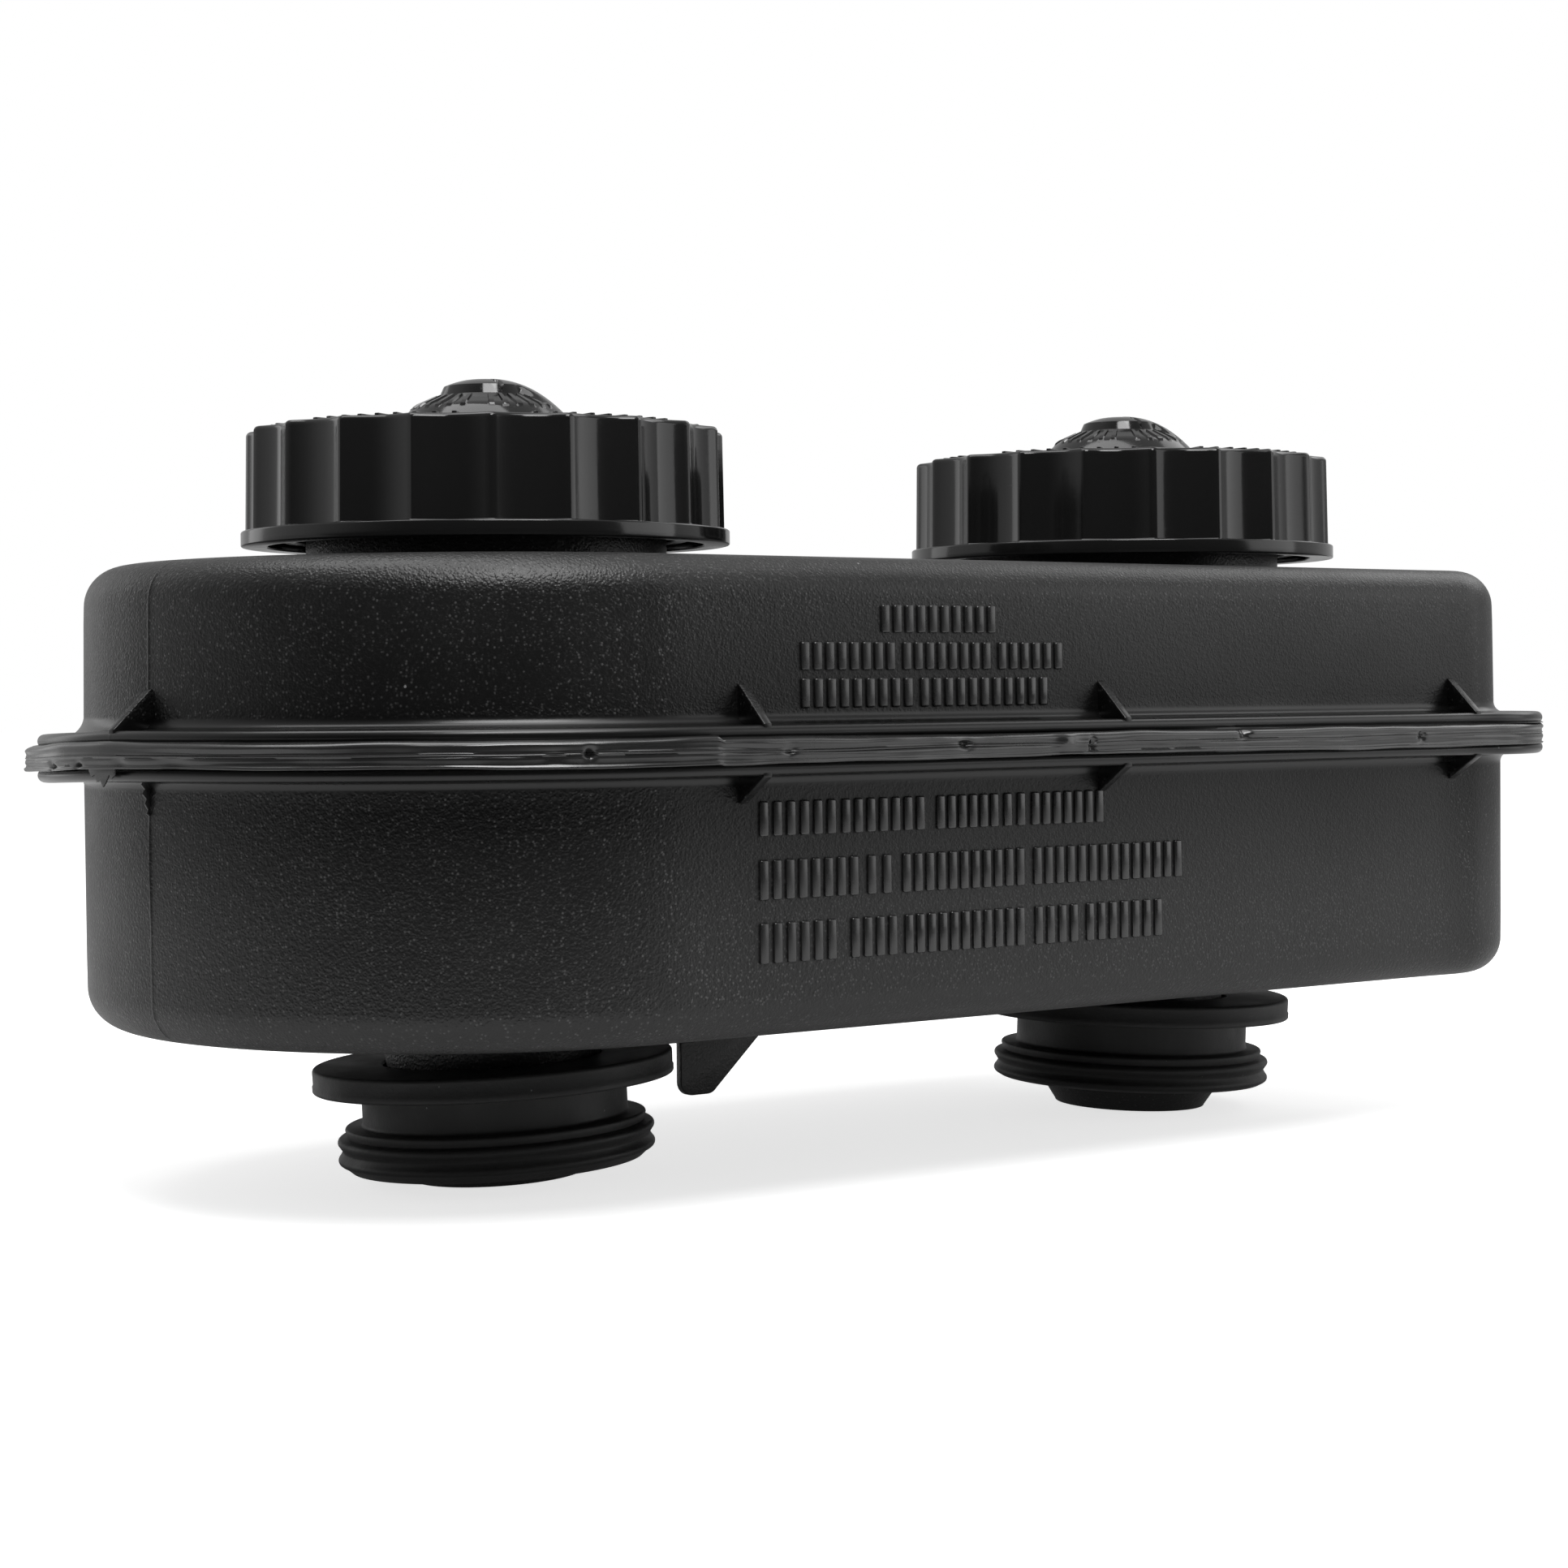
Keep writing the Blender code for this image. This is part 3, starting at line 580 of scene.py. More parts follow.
class Paint(Graph):
    """The graph of a material, with its shader and the object's coordinates."""

    def __init__(self, name: str, roughness: float, gloss: float) -> None:
        """Starts a material that isn't metal.

        Args:
            name: The material's name.
            roughness: Its roughness.
            gloss: Its specular level.
        """
        self.material = bpy.data.materials.new(name)
        self.material.use_nodes = True
        super().__init__(self.material.node_tree)
        self.shader = self.tree.nodes["Principled BSDF"]
        for label, value in (("Roughness", roughness), ("Specular IOR Level", gloss), ("Metallic", 0.0)):
            self.shader.inputs[label].default_value = value
        self.spot = self.node("TexCoord").outputs["Object"]

    def drive(self, label: str, source: Socket) -> None:
        """Joins a socket to one of the shader's inputs."""
        self.tree.links.new(source, self.shader.inputs[label])

    def relief(self, height: Socket, distance: float, strength: float = 1.0) -> None:
        """Raises the surface by a height."""
        values = {"Height": height, "Strength": strength, "Distance": distance}
        self.drive("Normal", self.node("Bump", values).outputs["Normal"])


@dataclass(frozen=True)
class Finish:
    """What all finishes have: grey levels, roughness, gloss and slow unevenness."""

    name: str
    dark: float
    light: float
    roughness: float
    gloss: float
    haze_pitch: float

    def start(self, effects: Effects) -> tuple[Paint, Socket]:
        """Starts the material and returns it with its slow unevenness."""
        paint = Paint(self.name, self.roughness, self.gloss)
        return paint, paint.place(effects.haze, paint.spot, Pitch=self.haze_pitch)["Haze"]

    def roughen(self, paint: Paint, haze: Socket, less: float, more: float) -> Socket:
        """Roughness that follows the slow unevenness."""
        return paint.ramp(haze, 0.3, 0.7, self.roughness - less, self.roughness + more)


@dataclass(frozen=True)
class HousingFinish(Finish):
    """Black moulded plastic with an eroded grain that stops beside the weld flange, with painted glints on the
    grain and painted shade towards the flange.
    """

    name: str = "housing_plastic"
    dark: float = 0.0014
    light: float = 0.0024
    roughness: float = 0.40
    gloss: float = 0.5
    haze_pitch: float = 26.0
    # Base colour of the painted glints: highlights painted on the grain's chosen pimples.
    painted_glint: float = 0.06
    dust: float = 0.16
    grain_pitch: float = 2300.0
    grain_depth: float = 0.00007
    smooth_band: float = 5.1

    def build(self, effects: Effects) -> Material:
        """Makes the material from the shared node groups."""
        paint, haze = self.start(effects)
        grain = paint.place(effects.grain, paint.spot, Pitch=self.grain_pitch)
        specks = paint.place(effects.dust, paint.spot, Pitch=420.0, Amount=0.012)
        axes = paint.node("SeparateXYZ", {0: paint.spot}).outputs
        away = paint.math("ABSOLUTE", paint.minus(axes["Z"], WELD_Z * MM))
        grained = paint.ramp(away, (self.smooth_band - 0.4) * MM, (self.smooth_band + 0.4) * MM)
        bulge = paint.ramp(axes["X"], -0.075, -0.02, 1.0, 0.6)
        strength = paint.times(paint.times(grained, bulge), paint.ramp(haze, 0.25, 0.75, 0.7, 1.2))
        paint.relief(paint.times(grain["Height"], strength), self.grain_depth)
        worn = paint.times(paint.times(grain["Sparkle"], grained), 0.1)
        eroded = paint.minus(paint.times(grained, 0.12), worn)
        paint.drive("Roughness", paint.plus(self.roughen(paint, haze, 0.16, -0.07), eroded))
        # Painted shade: on the grained wall the specular level dips towards the weld flange, which stands in for
        # the shade that the flange casts.
        flange_shade_gloss = paint.minus(paint.ramp(away, 4.5 * MM, 30.0 * MM, 0.36, 0.56), self.gloss)
        paint.drive("Specular IOR Level", paint.plus(paint.times(flange_shade_gloss, grained), self.gloss))
        tone = paint.mix(haze, self.dark, self.light)
        # Painted glints: the chosen pimples get a much lighter base colour, which stands in for highlights on them.
        lit = paint.mix(paint.times(grain["Sparkle"], strength), tone, self.painted_glint)
        paint.drive("Base Color", paint.mix(specks["Mask"], lit, self.dust))
        return paint.material


@dataclass(frozen=True)
class WeldFinish(Finish):
    """The satin skin of plastic that was melted and squeezed out of the weld."""

    name: str = "weld_plastic"
    dark: float = 0.008
    light: float = 0.015
    roughness: float = 0.22
    gloss: float = 0.8
    haze_pitch: float = 60.0

    def build(self, effects: Effects) -> Material:
        """Makes the material from the shared node groups."""
        paint, haze = self.start(effects)
        along = paint.node("Mapping", {"Vector": paint.spot, "Scale": (0.6, 0.6, 1.6)}).outputs["Vector"]
        flow = paint.node("TexNoise", {"Vector": along, "Scale": 420.0, "Detail": 2.0, "Roughness": 0.5})
        paint.relief(flow.outputs["Fac"], 0.000015)
        paint.drive("Roughness", self.roughen(paint, haze, 0.06, 0.1))
        paint.drive("Base Color", paint.mix(haze, self.dark, self.light))
        return paint.material


@dataclass(frozen=True)
class CapFinish(Finish):
    """Gloss black plastic with a few specks of dust and faint rub marks."""

    name: str = "cap_plastic"
    dark: float = 0.008
    light: float = 0.35
    roughness: float = 0.12
    gloss: float = 0.5
    haze_pitch: float = 45.0

    def build(self, effects: Effects) -> Material:
        """Makes the material from the shared node groups."""
        paint, haze = self.start(effects)
        specks = paint.place(effects.dust, paint.spot, Pitch=420.0, Amount=0.03)["Mask"]
        rubs = haze.node.outputs["Rubs"]
        rough = paint.plus(self.roughen(paint, haze, 0.03, 0.05), paint.times(rubs, 0.12))
        paint.drive("Roughness", paint.plus(rough, paint.times(specks, 0.5)))
        paint.drive("Base Color", paint.mix(specks, self.dark, self.light))
        skin = paint.node("TexNoise", {"Vector": paint.spot, "Scale": 2600.0, "Detail": 1.0})
        paint.relief(skin.outputs["Fac"], 0.00001, 0.25)
        return paint.material


@dataclass(frozen=True)
class RubberFinish(Finish):
    """Matt black rubber with talc in its pores."""

    name: str = "grommet_rubber"
    dark: float = 0.007
    light: float = 0.015
    roughness: float = 0.56
    gloss: float = 0.45
    haze_pitch: float = 70.0
    talc: float = 0.1

    def build(self, effects: Effects) -> Material:
        """Makes the material from the shared node groups."""
        paint, haze = self.start(effects)
        specks = paint.place(effects.dust, paint.spot, Pitch=700.0, Amount=0.05)["Mask"]
        pores = paint.node("TexNoise", {"Vector": paint.spot, "Scale": 1500.0, "Detail": 4.0, "Roughness": 0.6})
        paint.relief(pores.outputs["Fac"], 0.00007, 0.8)
        paint.drive("Base Color", paint.mix(specks, paint.mix(haze, self.dark, self.light), self.talc))
        paint.drive("Roughness", self.roughen(paint, haze, 0.08, 0.08))
        return paint.material


def droop(course: float) -> float:
    """Height that the flange sags by at a course: it hangs lowest round the back of the rounded end."""
    return -0.85 * span(course, (430.0, 470.0), (522.0, 560.0))


@dataclass
class Shell:
    """One moulded half of the housing: wall, lip, gussets and its necks or spigots."""

    upward: bool
    lip_reach: float = 6.4
    lip_thickness: float = 1.8
    lip_edge: float = 1.0
    bead_half: float = 1.75
    cove: float = 1.6
    inner_fillet: float = 3.5
    spacing: float = 0.9
    gusset_thickness: float = 1.4
    gusset_reach: float = 6.2
    gusset_x: tuple[float, ...] = (-48.95, 18.05, 96.05)
    end_swell: float = 1.7
    end_spread: float = 1.05
    undercut: float = 0.7

    @property
    def sign(self) -> float:
        """1 for the upper shell and -1 for the lower."""
        return 1.0 if self.upward else -1.0

    @property
    def end_z(self) -> float:
        """Height of the roof or the floor."""
        return ROOF_Z if self.upward else FLOOR_Z

    @property
    def lip_z(self) -> float:
        """Height of the lip's outer face."""
        return WELD_Z + self.sign * (self.bead_half + self.lip_thickness)

    def wall_inset(self, z: float) -> float:
        """How far the draft takes the wall in at a height."""
        return abs(z - WELD_Z) * DRAFT

    def section(self) -> list[Triple]:
        """Points of (reach, height, share of the parting line) from the roof's edge to its inside.

        A share of -1 marks the undercut below the lip, which closes towards the square end.
        """
        s, end, lip, edge = self.sign, self.end_z, self.lip_z, self.lip_edge
        brow = end - s * EDGE_FILLET
        start = -self.wall_inset(end) - EDGE_FILLET
        points = [(start - 0.8, end, 0.0)]
        for out, rise in path((start, -EDGE_FILLET, EDGE_FILLET, 90, 0, 14)):
            points.append((out, end + s * rise, 1.0 if rise < -0.2 else 0.0))
        for share in (0.15, 0.3, 0.45, 0.6, 0.75, 0.9, 1.0):
            z = brow + (lip + s * self.cove - brow) * share
            points.append((-self.wall_inset(z), z, 1.0))
        for out, rise in path((self.cove, self.cove, self.cove, 180, 270, 6))[1:]:
            points.append((out, lip + s * rise, 0.4))
        for out, rise in path((self.lip_reach - edge, -edge, edge, 90, -40, 9)):
            points.append((out, lip + s * rise, 0.2))
        bead, seam = WELD_Z + s * (self.bead_half - 0.1), WELD_Z + s * 0.15
        points.append((self.lip_reach - self.undercut, bead, -1.0))
        points += [(2.0, bead, 0.0), (2.0, seam, 0.0), (-WALL, seam, 0.0)]
        inner = end - s * WALL
        inside = -WALL - self.wall_inset(inner)
        points.append((inside, inner - s * self.inner_fillet, 0.0))
        centre = inside - self.inner_fillet
        for out, rise in path((centre, -self.inner_fillet, self.inner_fillet, 0, 90, 5))[1:]:
            points.append((out, inner + s * rise, 0.0))
        points.append((centre - 0.8, inner, 0.0))
        return points

    def sway(self, row: int, point: Triple) -> Shift:
        """Unevenness along one row of the section.

        Args:
            row: The row's number.
            point: Its reach, height and share of the parting line.

        Returns:
            A function from course to the added (reach, height).
        """
        out, z, parting = point
        is_lip = out > 4.0
        is_low = not self.upward and not is_lip and z < self.lip_z + 0.01
        loose = min(1.0, max(0.0, out / self.cove))

        def shift(course: float) -> Pair:
            near = min(abs(course - middle) for middle in PLAN.partings)
            jag = 1.0
            if not self.upward:
                jag = 0.7 + 2.2 * max(0.0, ripple(row * 2.1, 3.0, 5.0)) * (parting > 0.9)
            more = max(0.0, parting) * 0.13 * hump(near, 0.22) * jag
            end = span(course, (150.0, 170.0), (283.0, 303.0))
            if is_lip:
                more += self.end_swell * end + 0.5 * swelling(course)
            if is_low:
                more += self.end_spread * end
            if parting < 0.0:
                more += (self.undercut + 0.2) * span(course, (60.0, 125.0), (330.0, 390.0))
            return more, loose * droop(course)

        return shift

    def shell_mesh(self, profiles: dict[float, Sequence[Pair]], count: int) -> Mesh:
        """Builds the shell with its tubes, as one closed skin.

        Args:
            profiles: Each tube's profile, from the outer face round to the inner one, by its axis.
            count: Facets round each tube.

        Returns:
            The mesh.
        """
        bm = bmesh.new()
        rows = [PLAN.at(*point[:2], self.sway(row, point)) for row, point in enumerate(self.section())]
        courses = PLAN.courses(self.spacing, [(middle, 1.2, 0.0, 8) for middle in PLAN.partings])
        loops = [loft(bm, courses, rows)]
        loops += [loft(bm, angles(count), self.tube(x, profile)) for x, profile in profiles.items()]
        for ends in zip(*loops):
            edges = [edge for end in ends for edge in end]
            bmesh.ops.triangle_fill(bm, use_beauty=True, use_dissolve=False, edges=edges)
        return bm

    def tube(self, x: float, profile: Sequence[Pair]) -> list[Place]:
        """Place functions of a tube's loops."""
        return turned(x, profile)

    def gussets(self, bm: Mesh, height: float) -> None:
        """Adds the ribs between the wall and the lip.

        Args:
            bm: The shell's mesh.
            height: How far up the wall they reach.
        """
        reach = self.gusset_reach
        rises = ((-1.0, -0.9), (reach, -0.9), (reach, 0.15), (0.15, height), (-1.0, height))
        outline = [(out, self.lip_z + self.sign * rise) for out, rise in rises]
        places = [(x, facing * PLAN.half_depth, facing * math.pi / 2) for x in self.gusset_x for facing in (-1, 1)]
        if self.upward:
            for course in PLAN.partings:
                point, normal = PLAN.station(course)
                places.append((point.x, point.y, math.atan2(normal.y, normal.x)))
        for x, y, angle in places:
            plate(bm, outline, self.gusset_thickness, stand(x, y, 0, angle), 0.18)


@dataclass
class UpperShell(Shell):
    """The upper half, with the filler necks and their threads."""

    upward: bool = True
    neck_radius: float = 27.7
    bore: float = 24.9
    rim_z: float = 110.3
    thread_height: float = 1.2

    def neck_profile(self) -> list[Pair]:
        """Profile of a neck from the roof's outside over the rim to the roof's underside."""
        rim, bore, radius, under = self.rim_z, self.bore, self.neck_radius, ROOF_Z - WALL
        return path(
            (radius + 1.8, ROOF_Z), (radius + 1.2, ROOF_Z), (radius + 1.0, ROOF_Z + 1.0, 1.0, 270, 180, 6),
            (radius - 0.35, rim - 0.35, 0.35, 0, 90, 4), (bore + 0.3, rim - 0.3, 0.3, 90, 180, 4),
            (bore, under + 0.4), (bore + 0.4, under), (bore + 1.2, under),
        )

    def build(self, finish: Material) -> None:
        """Builds and places the upper shell in its finish."""
        bm = self.shell_mesh({side.x: self.neck_profile() for side in Side}, 120)
        self.gussets(bm, 5.7)
        for side in Side:
            thread(bm, side.x, self.neck_radius - 0.6, self.neck_radius + self.thread_height, self.rim_z - 7.6)
        piece("upper_housing", bm, finish, Body.HOUSING, ("upper_shell",))


@dataclass(frozen=True)
class Lean:
    """How far a spigot's end and its grommet lean over, stand aside and, the grommet, sit higher."""

    degrees: float
    aside: float
    lift: float

    @property
    def offset(self) -> Vector:
        """How far the spigot's end stands aside, square to the photograph's direction of view."""
        return ACROSS_VIEW * self.aside

    def matrix(self, x: float) -> Matrix:
        """The lean of what stands about the axis at x."""
        turn = Matrix.Rotation(math.radians(self.degrees), 4, TO_CAMERA)
        middle = stand(x, 0.0, PIVOT_Z)
        return stand(*self.offset) @ middle @ turn @ middle.inverted()

    def bend(self, x: float, place: Place) -> Place:
        """Place function that leans what lies below the pivot."""
        matrix = self.matrix(x)

        def leant(course: float) -> Vector:
            point = place(course)
            if point.z < (PIVOT_Z + 0.005) * MM:
                return matrix @ point
            return point + self.offset * MM if point.z < (PIVOT_Z + 0.1) * MM else point

        return leant


LEANS = {NECK_X["left"]: Lean(2.5, 0.33, -0.1), NECK_X["right"]: Lean(-2.2, 1.1, 1.5)}


@dataclass
class LowerShell(Shell):
    """The lower half, with the outlet spigots and the locating fin."""

    upward: bool = False
    cove: float = 1.3
    root_radius: float = 17.0
    tip_radius: float = 15.2
    nose_radius: float = 13.3
    nose: float = 3.7
    bore: float = 11.5

    def tube(self, x: float, profile: Sequence[Pair]) -> list[Place]:
        """Place functions of a spigot's loops, whose end leans over."""
        return [LEANS[x].bend(x, place) for place in turned(x, profile)]

    def spigot_profile(self, x: float) -> list[Pair]:
        """Profile of a spigot from the floor's outside round its end to the floor's inside."""
        end = self.nose_radius * math.sin(math.radians(abs(LEANS[x].degrees))) + 0.3
        root, tip, bore, top = self.root_radius, self.tip_radius, self.bore, FLOOR_Z + WALL
        return path(
            (root + 1.8, FLOOR_Z), (root + 1.1, FLOOR_Z), (root + 1.0, FLOOR_Z - 1.0, 1.0, 90, 180, 6),
            (tip + 0.9, PIVOT_Z + 0.01), (tip + 0.9, PIVOT_Z), (tip + 0.03, self.nose + 0.4),
            (tip - 0.12, self.nose - 0.2), (self.nose_radius - 0.3, end, 0.3, 0, -90, 4),
            (bore + 0.3, end, 0.3, 270, 180, 4), (bore, PIVOT_Z), (bore, PIVOT_Z + 0.01), (bore, top - 0.4),
            (bore + 0.4, top), (bore + 1.2, top),
        )

    def fin(self, bm: Mesh) -> None:
        """Adds the locating fin: upright on the left, sloped on the right, with round corners."""
        left, right, low, top, radius = -20.9, 2.2, 9.6, FLOOR_Z + 1.2, 2.2
        outline = path(
            (left, top), (left + radius, low + radius, radius, 180, 270, 6),
            (left + 5.2, low + radius, radius, 270, 322, 5), (right, FLOOR_Z), (right, top),
        )
        plate(bm, outline, 1.5, Matrix.Identity(4), 0.25)

    def build(self, finish: Material) -> None:
        """Builds and places the lower shell in its finish."""
        bm = self.shell_mesh({side.x: self.spigot_profile(side.x) for side in Side}, 96)
        self.gussets(bm, 4.0)
        self.fin(bm)
        piece("lower_housing", bm, finish, Body.HOUSING, ("lower_shell",))


@dataclass
class WeldBead:
    """The squeezed bead between the lips: two lobes, a weld line between them and burred edges.

    Each flaw is given by its course, height, width, tallness and depth, and each row by its reach,
    height, sway outwards, sway in height and seed.
    """

    limit: float = 8.5
    spacing: float = 0.45
    flaws: tuple[Row, ...] = (
        (621.1, 0.0, 0.6, 0.55, 1.1), (616.9, -0.4, 1.1, 0.5, 0.35), (541.8, -1.1, 0.9, 0.5, 0.5),
        (550.0, -1.2, 0.8, 0.5, 0.45), (559.3, -0.8, 1.3, 0.5, 0.4), (568.5, -0.8, 2.6, 0.6, 0.45),
        (98.3, 1.4, 0.9, 0.9, 1.1), (66.8, -0.25, 0.5, 0.8, 0.7), (62.0, 0.4, 1.6, 1.1, -0.5),
        (42.5, 0.2, 1.0, 0.6, 0.8), (138.0, -0.1, 0.7, 0.6, 0.6), (11.2, -0.1, 0.8, 0.6, 0.5),
    )
    rows: tuple[Row, ...] = (
        (1.6, 1.72, 0.0, 0.0, 1.0), (5.6, 1.72, 0.0, 0.0, 1.0), (6.4, 1.7, 0.05, 0.1, 1.0),
        (7.25, 1.7, 0.2, 0.35, 1.0), (7.62, 1.62, 0.28, 0.42, 1.0), (7.92, 1.48, 0.3, 0.42, 1.0),
        (8.16, 1.27, 0.3, 0.4, 1.0), (8.3, 1.02, 0.3, 0.36, 1.01), (8.26, 0.8, 0.28, 0.34, 1.03),
        (8.1, 0.55, 0.24, 0.3, 1.06), (8.06, 0.4, 0.2, 0.26, 1.08), (8.15, 0.25, 0.2, 0.22, 1.12),
        (8.08, 0.13, 0.2, 0.22, 1.12), (8.26, 0.05, 0.25, 0.22, 1.12), (8.26, -0.06, 0.25, 0.22, 1.12),
        (8.05, -0.16, 0.2, 0.22, 1.12), (8.15, -0.4, 0.22, 0.2, 1.16), (8.2, -0.75, 0.25, 0.2, 1.16),
        (8.0, -1.15, 0.28, 0.25, 1.2), (8.1, -1.37, 0.3, 0.3, 1.25), (8.35, -1.57, 0.3, 0.36, 1.25),
        (8.28, -1.77, 0.3, 0.36, 1.25), (8.0, -1.8, 0.3, 0.36, 1.25), (7.5, -1.57, 0.15, 0.2, 1.25),
        (5.8, -1.72, 0.0, 0.05, 1.25), (1.6, -1.72, 0.0, 0.0, 1.25),
    )

    def place(self, row: Row) -> Place:
        """Place function of one row, with its swells, nicks and pits."""
        out, z, sway_out, sway_z, seed = row
        is_free = sway_out > 0

        def shift(course: float) -> Pair:
            swell = ripple(course, 21.0, seed) + 0.45 * ripple(course, 6.0, seed + 4.0)
            lift = ripple(course, 34.0, seed + 9.0) + 0.4 * ripple(course, 9.0, seed + 11.0)
            fine = 0.02 * ripple(course, 1.4, seed + 20.0)
            more = (swell * 1.1 + fine - 0.3) * sway_out
            for middle, height, width, tall, depth in self.flaws:
                more -= depth * hump(course - middle, width) * hump(z - height, tall) * is_free
            free = 0.65 * swelling(course) * is_free
            ends = smoothstep(480.0, 530.0, course) + 1.0 - smoothstep(5.0, 60.0, course)
            crest = 0.35 * ends * smoothstep(0.3, 1.0, z) * is_free
            return min(more, self.limit - out) + free, lift * sway_z + crest + droop(course)

        return PLAN.at(out, WELD_Z + z, shift)

    def build(self, finish: Material) -> None:
        """Builds and places the bead in its finish."""
        bm = bmesh.new()
        places = [self.place(row) for row in self.rows]
        spots = [(flaw[0], 2.2 * flaw[2], 0.1, 10) for flaw in self.flaws]
        loft(bm, PLAN.courses(self.spacing, spots), [*places, places[0]])
        piece("weld_bead", bm, finish, Body.HOUSING, ("upper_shell", "lower_shell"), 75.0)


@dataclass
class TornFlash:
    """Thin torn shreds of plastic: one hangs from the bead and one stands on the parting line."""

    thickness: float = 0.3
    shred: tuple[Pair, ...] = (
        (-3.4, -1.3), (3.3, -1.3), (3.1, -2.6), (2.3, -3.1), (1.7, -2.5), (0.7, -3.8), (0.1, -4.3), (-0.6, -3.3),
        (-1.4, -3.6), (-2.0, -2.5), (-2.8, -2.9), (-3.4, -2.1),
    )
    fringe: tuple[Pair, ...] = (
        (-0.4, -3.3), (0.9, -3.4), (1.3, -4.2), (0.8, -4.8), (1.15, -5.5), (0.55, -6.2), (0.8, -6.9), (0.3, -7.7),
        (0.5, -8.3), (-0.4, -9.0),
    )

    def build(self, finish: Material) -> None:
        """Builds and places both shreds in their finish."""
        bm = bmesh.new()
        point, normal = PLAN.station(PLAN.partings[0])
        facing = math.atan2(normal.y, normal.x)
        for outline, reach, quarter in ((self.shred, 7.5, math.pi / 2), (self.fringe, 0.0, 0.0)):
            foot = point + normal * reach
            plate(bm, outline, self.thickness, stand(foot.x, foot.y, WELD_Z, facing + quarter), 0.08)
        piece("torn_flash", bm, finish, Body.HOUSING, ("lower_shell",))


@dataclass
class RaisedMarks:
    """Rows of plain rounded pads moulded on the front panel, in place of wording.

    Each row is given by the heights of its top and bottom and by the ends of its groups of pads.
    """

    rows: tuple[tuple[float, float, tuple[Pair, ...]], ...] = (
        (87.1, 83.0, ((-23.5, -3.6),)),
        (81.7, 77.6, ((-38.0, -22.6), (-19.6, -4.6), (-1.6, 9.4))),
        (76.5, 72.2, ((-38.0, -19.4), (-16.4, 6.4))),
        (59.2, 54.2, ((-45.5, -33.6), (-31.0, -17.4), (-13.6, -3.4), (-0.8, 1.8), (4.6, 17.4))),
        (50.9, 45.2, ((-45.5, -29.6), (-26.4, -23.6), (-20.0, 1.6), (5.0, 33.6))),
        (42.0, 36.2, ((-45.5, -33.6), (-29.4, -22.6), (-19.6, 1.6), (5.2, 12.2), (15.4, 29.4))),
    )
    pitch: float = 2.2
    width: float = 1.45
    proud: float = 0.45

    def build(self, finish: Material) -> None:
        """Builds the pads of the upper and of the lower shell as two pieces."""
        for half, rows in (("upper", self.rows[:3]), ("lower", self.rows[3:])):
            bm = bmesh.new()
            for high, low, words in rows:
                for start, end in words:
                    count = max(1, round((end - start) / self.pitch))
                    for step in range(count + 1):
                        self.pad(bm, start + (end - start) * step / count, high, low)
            piece(f"{half}_marks", bm, finish, Body.HOUSING, (f"{half}_shell",))

    def pad(self, bm: Mesh, x: float, high: float, low: float) -> None:
        """Adds one upright pad between two heights."""
        middle = (high + low) / 2
        face_y = abs(middle - WELD_Z) * DRAFT - PLAN.half_depth
        block(bm, (self.width, self.proud * 2, high - low), stand(x, face_y, middle), 0.3, 3)


